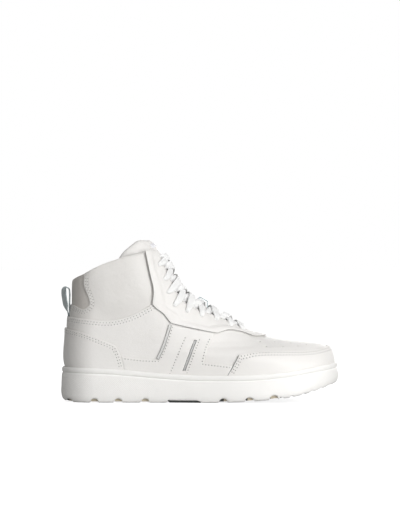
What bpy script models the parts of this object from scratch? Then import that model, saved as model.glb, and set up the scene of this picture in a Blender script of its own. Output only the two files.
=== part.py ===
"""A right-foot basketball high top on a rubber cupsole, built piece by piece in Blender.

Frame: +X towards the toe, +Z up, -Y the outer (lateral) side. The origin is on the ground, under the
middle of the sole. Shapes are worked out in millimetres and turned into metres as each mesh is made.

The upper lies on one smooth surface, surface(theta, t). theta runs round the shoe: 0 is the middle of the
heel, pi the middle of the toe and instep, and the outer side is between them. t counts section sheets from
the sole (0) to the collar. Every leather, foam and textile piece is an outline on that surface, with an
inner face at some depth and a thickness. Outlines are given in side view, as (s, z): s is the distance
from the back of the sole and z the height above the ground.
"""

import math

import bpy
import numpy as np
from mathutils import Matrix, Vector
from mathutils.geometry import delaunay_2d_cdt

MM = 0.001
MIDDLE = 149.8  # s of the origin
PULL_TAB_HINGE = (-0.1425, -0.0022, 0.095)  # where each joint's axis passes, in metres from the origin
TONGUE_HINGE = (-0.0466, -0.0022, 0.1647)
SOCKLINER_HINGE = (0.133, 0.0, 0.0295)
SIDE_SHIFT = -2.15  # moves the section centres so that the sole's widest points are level about y = 0

LEATHER = 1.0
LAYER_GAP = 0.6
OVERLAY_DEPTH = 0.95  # inner face of the outermost leather, above the surface
BASE_DEPTH = -LEATHER  # inner face of the leather whose outer face is the surface itself
COLLAR_DEPTH = BASE_DEPTH - LAYER_GAP - LEATHER
HEEL_TAB_DEPTH = COLLAR_DEPTH - LAYER_GAP - LEATHER
LINING = 0.8
LINING_DEPTH = HEEL_TAB_DEPTH - LAYER_GAP - LINING
LINING_RISE = 3.4  # how far the lining rises under the eyelet row, where no panel lies over it
THROAT_DROP = 1.65  # how far the eyestay sinks there
COLLAR_SWELL = 5.2  # how much deeper the lining sits where the collar is padded
UNDERLAP = 5.5  # how far a panel runs on under the one that covers its edge

CELL = 8.0  # lattice pitch of the panels
THETA_MM = 144 / math.pi  # millimetres that one radian of theta stands for in flat distances

WHITE_LEATHER = (0.86, 0.85, 0.83)
SOLE_WHITE = (0.88, 0.88, 0.85)
TEXTILE_WHITE = (0.84, 0.84, 0.83)
TEAL = (0.45, 0.56, 0.58)

# Section sheets from the bottom up: heel s, heel z, front s, front z, sag in the middle, and the length
# over which the front end of the section rounds off.
SECTIONS = (
    (7.0, 21.0, 288.5, 24.0, 10.5, 52.0),
    (5.6, 37.0, 294.0, 41.5, 9.5, 54.0),
    (4.4, 42.0, 292.3, 51.0, 7.0, 75.0),
    (4.0, 46.0, 288.5, 57.3, 5.0, 105.0),
    (3.9, 50.0, 281.0, 61.3, 4.0, 140.0),
    (4.1, 55.5, 256.0, 64.5, 3.0, 155.0),
    (4.5, 61.0, 235.0, 67.3, 2.0, 145.0),
    (5.0, 67.0, 217.0, 71.0, 1.0, 120.0),
    (5.4, 75.0, 200.0, 78.0, 0.0, 98.0),
    (5.7, 83.0, 185.0, 86.0, 0.0, 84.0),
    (6.2, 90.5, 169.0, 94.5, 0.0, 70.0),
    (7.4, 97.0, 152.5, 102.0, 0.0, 58.0),
    (8.2, 103.5, 139.0, 110.5, 0.0, 48.0),
    (8.4, 111.0, 127.5, 122.5, 0.0, 42.0),
    (8.4, 118.0, 119.5, 137.0, 0.0, 39.0),
    (8.4, 124.0, 113.5, 150.0, 0.0, 37.0),
    (8.8, 129.0, 107.5, 162.0, 0.0, 36.0),
    (9.6, 133.0, 101.0, 172.0, 0.0, 36.0),
    (10.0, 138.0, 96.0, 182.0, 0.0, 36.0),
)
HEEL_ROUNDING = 32.0

# Half widths near the sole and at ankle height, outer and inner side, by distance from the back.
LOW_OUTER = (
    (0, 32.5), (40, 33.5), (80, 33.5), (120, 36), (160, 41.5), (200, 47.5), (235, 49), (270, 46.5), (300, 42),
)
LOW_INNER = (
    (0, 32.5), (40, 33), (80, 32), (120, 33), (160, 39), (200, 46.5), (235, 49.5), (270, 48.5), (300, 44),
)
HIGH = ((0, 36.5), (60, 36.5), (100, 35.5), (140, 31), (180, 30), (220, 38), (260, 44), (300, 44))
CENTRE_LINE = ((0, 0), (120, 0), (200, 0.5), (250, 3), (295, 8))

# Heights along the sole: ground side, lip of the cup, lasting board.
SOLE_BOTTOM = ((0, 0), (150, 0), (202, 1.8), (228, 4), (247, 6.4), (258, 8.6), (287, 16.8), (300, 21))
SOLE_LIP = (
    (0, 37.3), (35, 36.7), (70, 34.6), (111, 31.2), (153, 29.2), (194, 29.5), (236, 32.6),
    (267, 37.3), (298, 42),
)
BOARD_TOP = ((0, 27), (50, 26.6), (100, 23.5), (150, 20), (200, 18.6), (240, 21), (270, 25.5), (292, 30))


def smooth_line(knots):
    """A smooth function through (x, value) knots that never overshoots them. Values may be tuples."""
    xs = np.array([knot[0] for knot in knots], float)
    ys = np.array([knot[1:] for knot in knots], float)
    step = np.diff(xs)[:, None]
    slope = np.diff(ys, axis=0) / step
    tangent = np.zeros_like(ys)
    tangent[0], tangent[-1] = slope[0], slope[-1]
    same_way = slope[1:] * slope[:-1] > 0
    mean = 2 * slope[1:] * slope[:-1] / np.where(same_way, slope[1:] + slope[:-1], 1)
    tangent[1:-1] = np.where(same_way, mean, 0)

    def value(x):
        x = np.clip(np.asarray(x, float), xs[0], xs[-1])
        i = np.clip(np.searchsorted(xs, x, side="right") - 1, 0, len(xs) - 2)
        h = (xs[i + 1] - xs[i])[..., None]
        u = ((x - xs[i])[..., None]) / h
        rise = ys[i] * (1 + 2 * u) * (1 - u) ** 2 + ys[i + 1] * u * u * (3 - 2 * u)
        bend = h * (tangent[i] * u * (1 - u) ** 2 - tangent[i + 1] * u * u * (1 - u))
        out = rise + bend
        return out[..., 0] if out.shape[-1] == 1 else out

    return value


def sheet_positions():
    """t of each section sheet: the mean distance travelled by its two ends."""
    ends = np.array(SECTIONS)[:, :4]
    heel = np.linalg.norm(np.diff(ends[:, :2], axis=0), axis=1)
    front = np.linalg.norm(np.diff(ends[:, 2:], axis=0), axis=1)
    return np.concatenate([[0], np.cumsum((heel + front) / 2)])


SHEET_T = sheet_positions()
TOP_T = float(SHEET_T[-1])
section = smooth_line([(t, *row) for t, row in zip(SHEET_T, SECTIONS)])
low_outer, low_inner, high_width = smooth_line(LOW_OUTER), smooth_line(LOW_INNER), smooth_line(HIGH)
centre_line = smooth_line(CENTRE_LINE)
sole_bottom, sole_lip, board_top = smooth_line(SOLE_BOTTOM), smooth_line(SOLE_LIP), smooth_line(BOARD_TOP)


def ramp(x):
    x = np.clip(x, 0, 1)
    return x * x * (3 - 2 * x)


def rounded_end(share):
    """Width of a rounded end, 0 at the tip and 1 once share reaches 1."""
    return np.sqrt(np.clip(1 - (1 - np.clip(share, 0, 1)) ** 2, 0, 1))


def side_view(along, t):
    """(s, z) on sheet t at the share along of the way from heel to front."""
    heel_s, heel_z, front_s, front_z, sag, rounding = np.moveaxis(section(t), -1, 0)
    s = heel_s + (front_s - heel_s) * along
    z = heel_z + (front_z - heel_z) * along - sag * 4 * along * (1 - along)
    return s, z, front_s - heel_s, rounding


def surface(theta, t):
    """Points of the upper's surface, in millimetres, with x from the back of the sole."""
    theta, t = np.broadcast_arrays(np.asarray(theta, float), np.asarray(t, float))
    along = (1 - np.cos(theta)) / 2
    outer = np.sin(theta) > 0
    s, z, length, rounding = side_view(along, t)
    low = np.where(outer, low_outer(s), low_inner(s))
    width = low + (high_width(s) - low) * ramp((z - 45) / 70)
    width = width * rounded_end(along * length / HEEL_ROUNDING)
    width = width * rounded_end((1 - along) * length / rounding)
    y = SIDE_SHIFT + centre_line(s) + np.where(outer, -width, width)
    return np.stack([s, y, z], axis=-1)


def normals(theta, t):
    """Outward unit normals of the surface."""
    step = 1e-3
    around = surface(np.asarray(theta) + step, t) - surface(np.asarray(theta) - step, t)
    higher, lower = (np.clip(t + rise, 0, TOP_T) for rise in (40 * step, -40 * step))
    upward = surface(theta, higher) - surface(theta, lower)
    normal = np.cross(around, upward)
    return normal / np.linalg.norm(normal, axis=-1, keepdims=True)


def located(points):
    """(theta, t) on the outer side of side-view points (s, z), by halving the interval of t."""
    points = np.asarray(points, float).reshape(-1, 2)
    low, high = np.zeros(len(points)), np.full(len(points), TOP_T)
    for _ in range(40):
        middle = (low + high) / 2
        heel_s, _, front_s, _, _, _ = np.moveaxis(section(middle), -1, 0)
        along = np.clip((points[:, 0] - heel_s) / (front_s - heel_s), 0, 1)
        above = side_view(along, middle)[1] > points[:, 1]
        high, low = np.where(above, middle, high), np.where(above, low, middle)
    return np.stack([np.arccos(np.clip(1 - 2 * along, -1, 1)), middle], axis=-1)


def height_sheet(theta, height):
    """t at which the surface at theta reaches the height curve height(s)."""
    low, high = np.zeros(len(theta)), np.full(len(theta), TOP_T)
    along = (1 - np.cos(theta)) / 2
    for _ in range(40):
        middle = (low + high) / 2
        s, z, _, _ = side_view(along, middle)
        above = z > height(s)
        high, low = np.where(above, middle, high), np.where(above, low, middle)
    return middle


# --- outlines -------------------------------------------------------------------------------------------


def spline(points, pitch=CELL * 0.8):
    """A smooth curve through side-view points, sampled about every pitch millimetres."""
    points = np.array(points, float)
    gaps = np.linalg.norm(np.diff(points, axis=0), axis=1)
    place = np.concatenate([[0], np.cumsum(gaps)])
    tangent = np.gradient(points, place, axis=0) if len(points) > 2 else None
    found = []
    for i, gap in enumerate(gaps):
        u = np.linspace(0, 1, max(1, round(gap / pitch)) + 1)[:-1, None]
        if tangent is None:
            found.append(points[i] + (points[i + 1] - points[i]) * u)
            continue
        found.append(
            points[i] * (1 + 2 * u) * (1 - u) ** 2
            + points[i + 1] * u * u * (3 - 2 * u)
            + gap * (tangent[i] * u * (1 - u) ** 2 - tangent[i + 1] * u * u * (1 - u))
        )
    return np.concatenate(found + [points[-1:]])


def joined(*runs):
    """Curves end to end as one outline, without the doubled points."""
    found = [np.asarray(runs[0], float)]
    for run in runs[1:]:
        run = np.asarray(run, float)
        found.append(run[1:] if np.linalg.norm(run[0] - found[-1][-1]) < 0.05 else run)
    return np.concatenate(found)


def sole_edge(start, end):
    """The lower edge of the upper between two distances from the back, just above the midsole."""
    count = max(2, round(abs(end - start) / CELL) + 1)
    s = np.linspace(start, end, count)
    return np.stack([s, board_top(s) - 1.5], axis=-1)


def mirrored(outline):
    return np.stack([-outline[:, 0], outline[:, 1]], axis=-1)


def round_heel(outline):
    """A piece that wraps the heel: the outer half's outline, from and to its middle, and the mirror."""
    return np.concatenate([outline, mirrored(outline)[::-1][1:-1]])


def round_front(outline):
    """A piece that wraps the toe or instep: the outer half's outline, middle to middle, and the mirror."""
    other = np.stack([2 * math.pi - outline[:, 0], outline[:, 1]], axis=-1)
    return np.concatenate([outline, other[::-1][1:-1]])


def hole(theta, t, radius, corners=6):
    """A round hole as an outline in (theta, t)."""
    step = 1e-3
    around = (surface(theta + step, t) - surface(theta - step, t)) / (2 * step)
    upward = (surface(theta, t + step) - surface(theta, t - step)) / (2 * step)
    first = around / np.linalg.norm(around)
    second = upward - (upward @ first) * first
    second /= np.linalg.norm(second)
    angle = np.arange(corners) * 2 * math.pi / corners
    rise = radius * np.sin(angle) / (upward @ second)
    turn = (radius * np.cos(angle) - rise * (upward @ first)) / np.linalg.norm(around)
    return np.stack([theta + turn, t + rise], axis=-1)


# --- making objects ---------------------------------------------------------------------------------------


def make_material(name, colour, roughness):
    material = bpy.data.materials.new(name)
    material.use_nodes = True
    shader = material.node_tree.nodes["Principled BSDF"]
    shader.inputs["Base Color"].default_value = (*colour, 1)
    shader.inputs["Roughness"].default_value = roughness
    shader.inputs["Metallic"].default_value = 0
    return material


def new_object(name, points, faces, material, collection):
    """A mesh object from points in millimetres."""
    points = (np.asarray(points, float) - (MIDDLE, 0, 0)) * MM
    mesh = bpy.data.meshes.new(name)
    mesh.from_pydata([tuple(point) for point in points], [], [tuple(map(int, face)) for face in faces])
    mesh.materials.append(material)
    made = bpy.data.objects.new(name, mesh)
    collection.objects.link(made)
    return made


def hang(made, pivot):
    """Puts a moving piece's origin on its joint's axis and leaves its shape where it is."""
    made.data.transform(Matrix.Translation(-Vector(pivot)))
    made.location = pivot


def inside(points, loop):
    """Which points lie in the closed loop."""
    x, y = points[:, 0, None], points[:, 1, None]
    ax, ay = loop[:, 0], loop[:, 1]
    bx, by = np.roll(ax, -1), np.roll(ay, -1)
    spans = (ay > y) != (by > y)
    with np.errstate(divide="ignore", invalid="ignore"):
        crossing = ax + (y - ay) * (bx - ax) / (by - ay)
    return (spans & (x < crossing)).sum(axis=1) % 2 == 1


def distance_to(points, line, closed=True):
    """Distance from each point to a loop or an open line."""
    start = line if closed else line[:-1]
    edge = (np.roll(line, -1, axis=0) if closed else line[1:]) - start
    share = ((points[:, None] - start) * edge).sum(-1) / np.maximum((edge**2).sum(-1), 1e-12)
    nearest = start + edge * np.clip(share, 0, 1)[..., None]
    return np.linalg.norm(points[:, None] - nearest, axis=-1).min(axis=1)


def flat(places):
    """(theta, t) as flat distances in millimetres."""
    return np.asarray(places, float) * (THETA_MM, 1.0)


def stepped(loop, pitch):
    """A flat loop with points added so that no side is longer than pitch."""
    found = []
    for start, end in zip(loop, np.roll(loop, -1, axis=0)):
        count = max(1, math.ceil(np.linalg.norm(end - start) / pitch))
        found.append(start + (end - start) * (np.arange(count) / count)[:, None])
    return np.concatenate(found)


def meshed(outline, holes=(), cell=CELL):
    """(theta, t) points and triangles that fill an outline."""
    loops = [stepped(flat(outline), cell), *(flat(loop) for loop in holes)]
    low, high = loops[0].min(axis=0), loops[0].max(axis=0)
    pitch = (cell, cell * 0.866)
    steps = [np.arange(math.floor(low[k] / pitch[k]) - 1, math.ceil(high[k] / pitch[k]) + 1) for k in (0, 1)]
    column, row = np.meshgrid(*steps, indexing="ij")
    lattice = np.stack([(column + (row % 2) / 2) * pitch[0], row * pitch[1]], axis=-1).reshape(-1, 2)
    keep = inside(lattice, loops[0]) & (distance_to(lattice, loops[0]) > cell * 0.35)
    for loop in loops[1:]:
        keep &= ~inside(lattice, loop) & (distance_to(lattice, loop) > cell * 0.3)
    edges, start = [], 0
    for loop in loops:
        edges += [(start + i, start + (i + 1) % len(loop)) for i in range(len(loop))]
        start += len(loop)
    spots = [Vector(p) for p in np.concatenate(loops + [lattice[keep]])]
    points, _, faces, _, _, _ = delaunay_2d_cdt(spots, edges, [], 0, 1e-4)
    points, faces = np.array([tuple(p) for p in points]), np.array(faces)
    middle = points[faces].mean(axis=1)
    wanted = inside(middle, loops[0])
    for loop in loops[1:]:
        wanted &= ~inside(middle, loop)
    faces = faces[wanted]
    a, b, c = (points[faces[:, k]] for k in range(3))
    turn = (b[:, 0] - a[:, 0]) * (c[:, 1] - a[:, 1]) - (b[:, 1] - a[:, 1]) * (c[:, 0] - a[:, 0])
    faces[turn < 0] = faces[turn < 0][:, ::-1]
    faces = faces[np.abs(turn) > 1e-6]
    return points / (THETA_MM, 1.0), faces


def level(depth, theta, t):
    value = depth(theta, t) if callable(depth) else depth
    return np.broadcast_to(value, theta.shape)[:, None]


def sheet(name, outline, low, high, material, collection, holes=(), cell=CELL):
    """A solid between two depths under an outline. A depth is a number or a function of (theta, t)."""
    places, faces = meshed(outline, holes, cell)
    theta, t = places[:, 0], places[:, 1]
    points, out = surface(theta, t), normals(theta, t)
    count = len(points)
    under, over = points + out * level(low, theta, t), points + out * level(high, theta, t)
    corners = [(int(a), int(b)) for face in faces for a, b in zip(face, np.roll(face, -1))]
    once = set(corners)
    walls = [(a, b, b + count, a + count) for a, b in corners if (b, a) not in once]
    solid = [tuple(face[::-1]) for face in faces] + [tuple(face + count) for face in faces] + walls
    return new_object(name, np.concatenate([under, over]), solid, material, collection)


def pair(name, outline, low, high, material, collection, holes=(), cell=CELL):
    """The same sheet on the outer and the inner side."""
    sheet(f"{name}_outer", outline, low, high, material, collection, holes, cell)
    other = [mirrored(loop) for loop in holes]
    sheet(f"{name}_inner", mirrored(outline), low, high, material, collection, other, cell)


def ring_solid(name, rings, material, collection):
    """A closed solid from rings that go round the shoe, bottom first, closed at each end by strips across."""
    count = len(rings[0])
    half = count // 2
    faces = []
    for level_index in range(len(rings) - 1):
        low, high = level_index * count, (level_index + 1) * count
        for i in range(count):
            j = (i + 1) % count
            faces.append((low + i, low + j, high + j, high + i))
    for base, turned in ((0, True), ((len(rings) - 1) * count, False)):
        for i in range(half):
            corners = [i, i + 1, count - i - 1, (count - i) % count]
            if i == 0:
                corners = [0, 1, count - 1]
            if i == half - 1:
                corners = [i, half, count - i]
            face = [base + corner for corner in corners]
            faces.append(face[::-1] if turned else face)
    return new_object(name, np.concatenate(rings), faces, material, collection)


def swept(name, path, aside, half_width, half_thickness, material, collection, corners=6):
    """A flat band along a path of points: aside points roughly along its width."""
    path = np.asarray(path, float)
    along = np.gradient(path, axis=0)
    along /= np.linalg.norm(along, axis=1, keepdims=True)
    across = aside - (aside * along).sum(axis=1, keepdims=True) * along
    across /= np.linalg.norm(across, axis=1, keepdims=True)
    up = np.cross(along, across)
    turn = (np.arange(corners) + 0.5) * 2 * math.pi / corners
    shape_x = np.sign(np.cos(turn)) * np.abs(np.cos(turn)) ** 0.7
    shape_y = np.sign(np.sin(turn)) * np.abs(np.sin(turn)) ** 0.7
    half_width = np.broadcast_to(half_width, len(path))
    half_thickness = np.broadcast_to(half_thickness, len(path))
    points = (
        path[:, None]
        + across[:, None] * (half_width[:, None] * shape_x)[..., None]
        + up[:, None] * (half_thickness[:, None] * shape_y)[..., None]
    ).reshape(-1, 3)
    faces = []
    for i in range(len(path) - 1):
        for k in range(corners):
            m = (k + 1) % corners
            faces.append((i * corners + k, i * corners + m, (i + 1) * corners + m, (i + 1) * corners + k))
    faces.append(tuple(range(corners))[::-1])
    last = (len(path) - 1) * corners
    faces.append(tuple(last + k for k in range(corners)))
    return new_object(name, points, faces, material, collection)


RING_THETA = np.arange(56) * 2 * math.pi / 56


def ring(follow, offset, height):
    """Points round the shoe where the surface meets the curve follow, moved out and put at a height."""
    t = height_sheet(RING_THETA, follow)
    points = surface(RING_THETA, t)
    out = normals(RING_THETA, t) * (1, 1, 0)
    points = points + out / np.linalg.norm(out, axis=-1, keepdims=True) * offset
    points[:, 2] = height(points[:, 0])
    return points


def cut(target, cutter):
    cutter.hide_render = True
    cutter.display_type = "WIRE"
    boolean = target.modifiers.new(cutter.name, "BOOLEAN")
    boolean.operation = "DIFFERENCE"
    boolean.object = cutter


# --- the sole ---------------------------------------------------------------------------------------------

TREAD_GROOVES = (38, 63, 92, 176, 202, 228)  # s of the notches across the outsole
TOE_RIBS = (247, 262, 277)
GROOVE_RADIUS = 3.4
TOE_RIB_RADIUS = 2.0
ARCH_RECESS = (116.5, 151.0, 2.6)  # from s, to s, height
# The cup's outer wall: distance outside the upper, and height above the tread or above the lip.
WALL_FROM_BOTTOM = ((1.5, 0.0), (4.6, 2.2), (5.8, 7.5))
WALL_FROM_LIP = ((4.7, -6.6), (3.9, -5.8), (4.5, -5.0), (4.3, -1.2), (3.4, 0.0), (2.8, 0.0))
CUP_DEPTH = 7.0  # how far below the lip the cup's inner wall reaches its full slope
CUP_OFFSET = 2.6  # how far outside the upper the inner wall lies at its foot, and how much farther above
CUP_FLARE = 0.3
FLOOR_THICKNESS = 6.0


def build_outsole(material, collection, cutters):
    """The rubber cup: a flared outer wall with a lip over a groove, and a floor under the midsole."""
    inner_low = lambda s: board_top(s) - 2.4
    inner_high = lambda s: sole_lip(s) - CUP_DEPTH
    rings = [ring(sole_lip, offset, lambda s, z=z: sole_bottom(s) + z) for offset, z in WALL_FROM_BOTTOM]
    rings += [ring(sole_lip, offset, lambda s, z=z: sole_lip(s) + z) for offset, z in WALL_FROM_LIP]
    rings += [
        ring(inner_high, CUP_OFFSET + CUP_FLARE, inner_high),
        ring(inner_low, CUP_OFFSET, inner_low),
        ring(inner_low, CUP_OFFSET, lambda s: sole_bottom(s) + FLOOR_THICKNESS),
    ]
    outsole = ring_solid("outsole", rings, material, collection)
    for index, s in enumerate(TREAD_GROOVES + TOE_RIBS):
        radius = GROOVE_RADIUS if s in TREAD_GROOVES else TOE_RIB_RADIUS
        centre = ((s - MIDDLE) * MM, 0, (float(sole_bottom(s)) - 0.3) * MM)
        bpy.ops.mesh.primitive_cylinder_add(
            vertices=8, radius=radius * MM, depth=0.2, location=centre, rotation=(math.pi / 2, 0, 0)
        )
        groove = bpy.context.object
        groove.name = f"groove_cutter_{index}"
        move_to(groove, cutters)
        cut(outsole, groove)
    start, end, height = ARCH_RECESS
    bpy.ops.mesh.primitive_cube_add(size=1)
    recess = bpy.context.object
    recess.name = "arch_recess_cutter"
    size = ((end - start) * MM, 0.2, 2 * height * MM)
    recess.data.transform(Matrix.Diagonal((*size, 1)))
    recess.location = (((start + end) / 2 - MIDDLE) * MM, 0, 0)
    move_to(recess, cutters)
    cut(outsole, recess)


def move_to(made, collection):
    for other in list(made.users_collection):
        other.objects.unlink(made)
    collection.objects.link(made)


def build_footbed(foam, board, fabric, collection):
    """The midsole wedge in the cup, the lasting board on it, and the loose sockliner."""
    floor = lambda s: sole_bottom(s) + 6.3
    top = lambda s: board_top(s) - 2.7
    ring_solid("midsole", [ring(top, 1.5, floor), ring(top, 1.5, top)], foam, collection)
    board_rings = [ring(board_top, -6.8, lambda s: board_top(s) - 2.0), ring(board_top, -6.8, board_top)]
    ring_solid("lasting_board", board_rings, board, collection)
    sock_low = lambda s: board_top(s) + 0.3
    rings = [
        ring(board_top, -7.8, sock_low),
        ring(board_top, -7.4, lambda s: board_top(s) + 2.6),
        ring(board_top, -7.4, lambda s: board_top(s) + 4.2),
    ]
    hang(ring_solid("sockliner", rings, fabric, collection), SOCKLINER_HINGE)


# --- the upper --------------------------------------------------------------------------------------------

COLLAR = (
    (8, 131), (14, 134), (25.3, 138.3), (38.8, 144.5), (51.2, 149.6), (62, 153.2), (76.1, 157.3),
    (90.6, 161.2),
)
HEEL_TAB_EDGE = ((25.3, 138.3), (24.6, 124.8), (30, 112), (31.2, 104), (25.3, 99.9), (10.8, 104.5))
QUARTER_TOP = ((5.0, 91.6), (28.4, 88.9), (55.4, 87.5), (76.1, 92.7), (98.9, 104.5))
HEEL_OVERLAY_TOP = ((4.0, 79.2), (26.4, 74), (45, 66.8), (59.5, 60.6))
HEEL_OVERLAY_FRONT = ((59.5, 60.6), (64.7, 50.2), (68.8, 35.7))
EYESTAY_TOP = ((90.6, 161.2), (97.5, 162.6), (104, 162.4))
EYESTAY_REAR = ((90.6, 161.2), (95.4, 139), (99.9, 117), (98.9, 104.8))
EYESTAY_STEP = ((98.9, 104.8), (104, 99.5), (109.2, 95.8), (118.5, 84.5))
EYESTAY_LOWER = ((118.5, 84.5), (144.5, 78.2), (168, 73.4))
EYESTAY_TIP = ((168, 73.4), (180.7, 76.6), (194.2, 74.4), (208, 69.6), (221, 69.9))
SIDE_REAR = ((66.6, 48.8), (86, 46.4), (105.9, 45.6), (111, 56.5), (119.4, 82.4))
SIDE_TOP = ((119.4, 82.4), (144.3, 77.1), (164.6, 73.2))
SIDE_FRONT = ((164.6, 73.2), (158, 58), (153.8, 42.9))
SIDE_FOOT = ((153.8, 42.9), (168, 41.2), (184.4, 39.4))
TOE_REAR = ((179.6, 29.5), (185.4, 39.4), (191.1, 50.2))
TOE_TOP = ((191.1, 50.2), (206.6, 53.3), (240, 54.2), (262, 54.2), (275, 55.4), (282, 57.2))
SLOT = ((131.6, 34.0), (134.1, 34.0), (146.2, 66.0), (143.7, 66.0))
EYELETS = (
    (106.0, 147.5), (112.0, 131.8), (115.6, 117.5), (122.5, 104.0), (136.3, 97.4),
    (151.3, 93.0), (167.8, 88.6), (182.8, 82.4), (195.6, 77.2),
)
EYELET_RADIUS = 2.9
HEEL_FOOT = 26.3  # z of the leather's lower edge at the heel
TOE_OVERLAY_TOP = 58.6  # z of its upper edge at the middle of the toe
BUTT_GAP = 0.008  # in theta, half the gap where two halves meet at the heel
ANCHOR_HALF_ANGLE = 0.135
THROAT_SHARE = 0.64  # the throat edge's distance from the middle line, as a share of the eyelets'
VAMP_UNDER_EYESTAY = ((149, 80.8), (158, 78.8), (168, 76.8), (180, 78.4), (191, 76.4), (202, 73.0))
QUARTER_SEAM = ((148, 86), (147, 60), (148, 16))
TONGUE_EDGE = (
    (210, 72), (200, 71.4), (188, 71.8), (165, 77.5), (140, 88), (120, 97.5),
    (105, 106.5), (92, 117.5), (80, 130), (70, 142), (63, 152.5),
)
TONGUE_FOLD = ((61.8, 155.0), (76, 159.4), (91, 163.4), (105.2, 165.4))
TONGUE_TOP = ((61.8, 155.6), (65, 161.5), (74, 168.4), (84.4, 173), (93, 175.2), (99.4, 175))

EYE = located(EYELETS)
EYE_PHI = math.pi - EYE[:, 0]
EYE_T = EYE[:, 1]


def sheet_with_front(s):
    """t of the section sheet whose front end is at distance s."""
    low, high = 0.0, TOP_T
    for _ in range(40):
        middle = (low + high) / 2
        if section(middle)[2] > s:
            low = middle
        else:
            high = middle
    return low


THROAT_BASE_T = sheet_with_front(206.5)
TIP_T = sheet_with_front(221.0)

throat_phi = smooth_line(
    [(THROAT_BASE_T, 0.0), (THROAT_BASE_T + 1.2, EYE_PHI[-1] * THROAT_SHARE * 0.62)]
    + [(t, phi * THROAT_SHARE) for t, phi in zip(EYE_T[::-1], EYE_PHI[::-1])]
    + [(EYE_T[0] + 9.0, EYE_PHI[0] * THROAT_SHARE * 0.97)]
)
tongue_bulge = smooth_line(
    (
        (THROAT_BASE_T, 0.6), (EYE_T[8], 3.4), (EYE_T[7], 4.8), (EYE_T[6], 6.0), (EYE_T[1], 6.2),
        (EYE_T[0], 5.4), (sheet_with_front(105.2), 3.3), (TOP_T, 3.0),
    )
)

EYESTAY_BACK = located(
    joined(
        spline(((86, 185), (90.6, 161.2))), spline(EYESTAY_REAR), spline(EYESTAY_STEP),
        spline(EYESTAY_LOWER), spline(EYESTAY_TIP),
    )
)
EYESTAY_AREA = np.concatenate([EYESTAY_BACK, [(math.pi + 0.5, TIP_T), (math.pi + 0.5, TOP_T + 9)]])


def eyestay_reach(theta, t):
    """Flat distance in from the eyestay's rear and lower edge: negative where the eyestay doesn't reach."""
    places = flat(np.stack([np.arccos(np.clip(np.cos(theta), -1, 1)), t], axis=-1))
    distance = distance_to(places, flat(EYESTAY_BACK), closed=False)
    return np.where(inside(places, flat(EYESTAY_AREA)), distance, -distance)


def position(theta, t):
    s, z, _, _ = side_view((1 - np.cos(theta)) / 2, t)
    return s, z


collar_height = smooth_line([(s, z) for s, z in COLLAR] + [(104, 163)])


def raised(theta, t):
    """1 under the eyelet row, where only the eyestay lies over the lining."""
    return ramp((eyestay_reach(theta, t) - UNDERLAP - 0.8) / 2.5)


def padded(theta, t):
    """1 where the collar is padded, without its top edge."""
    _, z = position(theta, t)
    return ramp((z - 86) / 12) * ramp((-eyestay_reach(theta, t) - 1) / 9)


def lining_inner(theta, t):
    """Depth of the lining's inner face."""
    s, z = position(theta, t)
    swell = padded(theta, t) * ramp((collar_height(s) - z) / 8)
    return LINING_DEPTH - COLLAR_SWELL * swell + LINING_RISE * raised(theta, t)


def eyestay_inner(theta, t):
    return OVERLAY_DEPTH - THROAT_DROP * raised(theta, t)


def tongue_outer(theta, t):
    """Depth of the tongue's outer face: full in the throat, sunk under the eyestays and the padded collar."""
    phi = np.abs(math.pi - np.mod(theta, 2 * math.pi))
    bulge = tongue_bulge(t) * ramp(1.15 * (1 - phi / np.maximum(throat_phi(t), 0.05)))
    sunk = -5.4 - 2.0 * (1 - raised(theta, t)) - COLLAR_SWELL * padded(theta, t)
    return sunk + bulge


def above(depth, amount):
    """The depth moved out by amount."""
    return lambda theta, t: level(depth, theta, t)[:, 0] + amount


def underlap(line, distance):
    """A (theta, t) line moved to its left by a flat distance."""
    points = flat(line)
    step = np.gradient(points, axis=0)
    step /= np.linalg.norm(step, axis=1, keepdims=True)
    return (points + np.stack([-step[:, 1], step[:, 0]], axis=-1) * distance) / (THETA_MM, 1.0)


def clipped(line, low_s=None, high_s=None, low_t=None, high_t=None):
    """The points of a (theta, t) line within limits of s and t."""
    s, _ = position(line[:, 0], line[:, 1])
    keep = np.ones(len(line), bool)
    for values, low, high in ((s, low_s, high_s), (line[:, 1], low_t, high_t)):
        keep &= (values >= low) if low is not None else True
        keep &= (values <= high) if high is not None else True
    return line[keep]


def at_heel(z):
    """The middle of the heel at a height."""
    return np.array([[0.0, height_sheet(np.zeros(1), lambda s: np.full_like(s, z))[0]]])


def at_front(t, gap=0.0):
    """The middle of the instep or toe, or a little to the outer side of it."""
    return np.array([[math.pi - gap, t]])


SOLE_FRONT_T = float(height_sheet(np.array([math.pi]), lambda s: board_top(s) - 1.5)[0])


def throat_line(low_t, high_t, inset=0.0, count=9):
    """The throat edge on the outer side, top first, moved in by inset radians."""
    t = np.linspace(high_t, low_t, count)
    return np.stack([math.pi - throat_phi(t) - inset, t], axis=-1)


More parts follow.
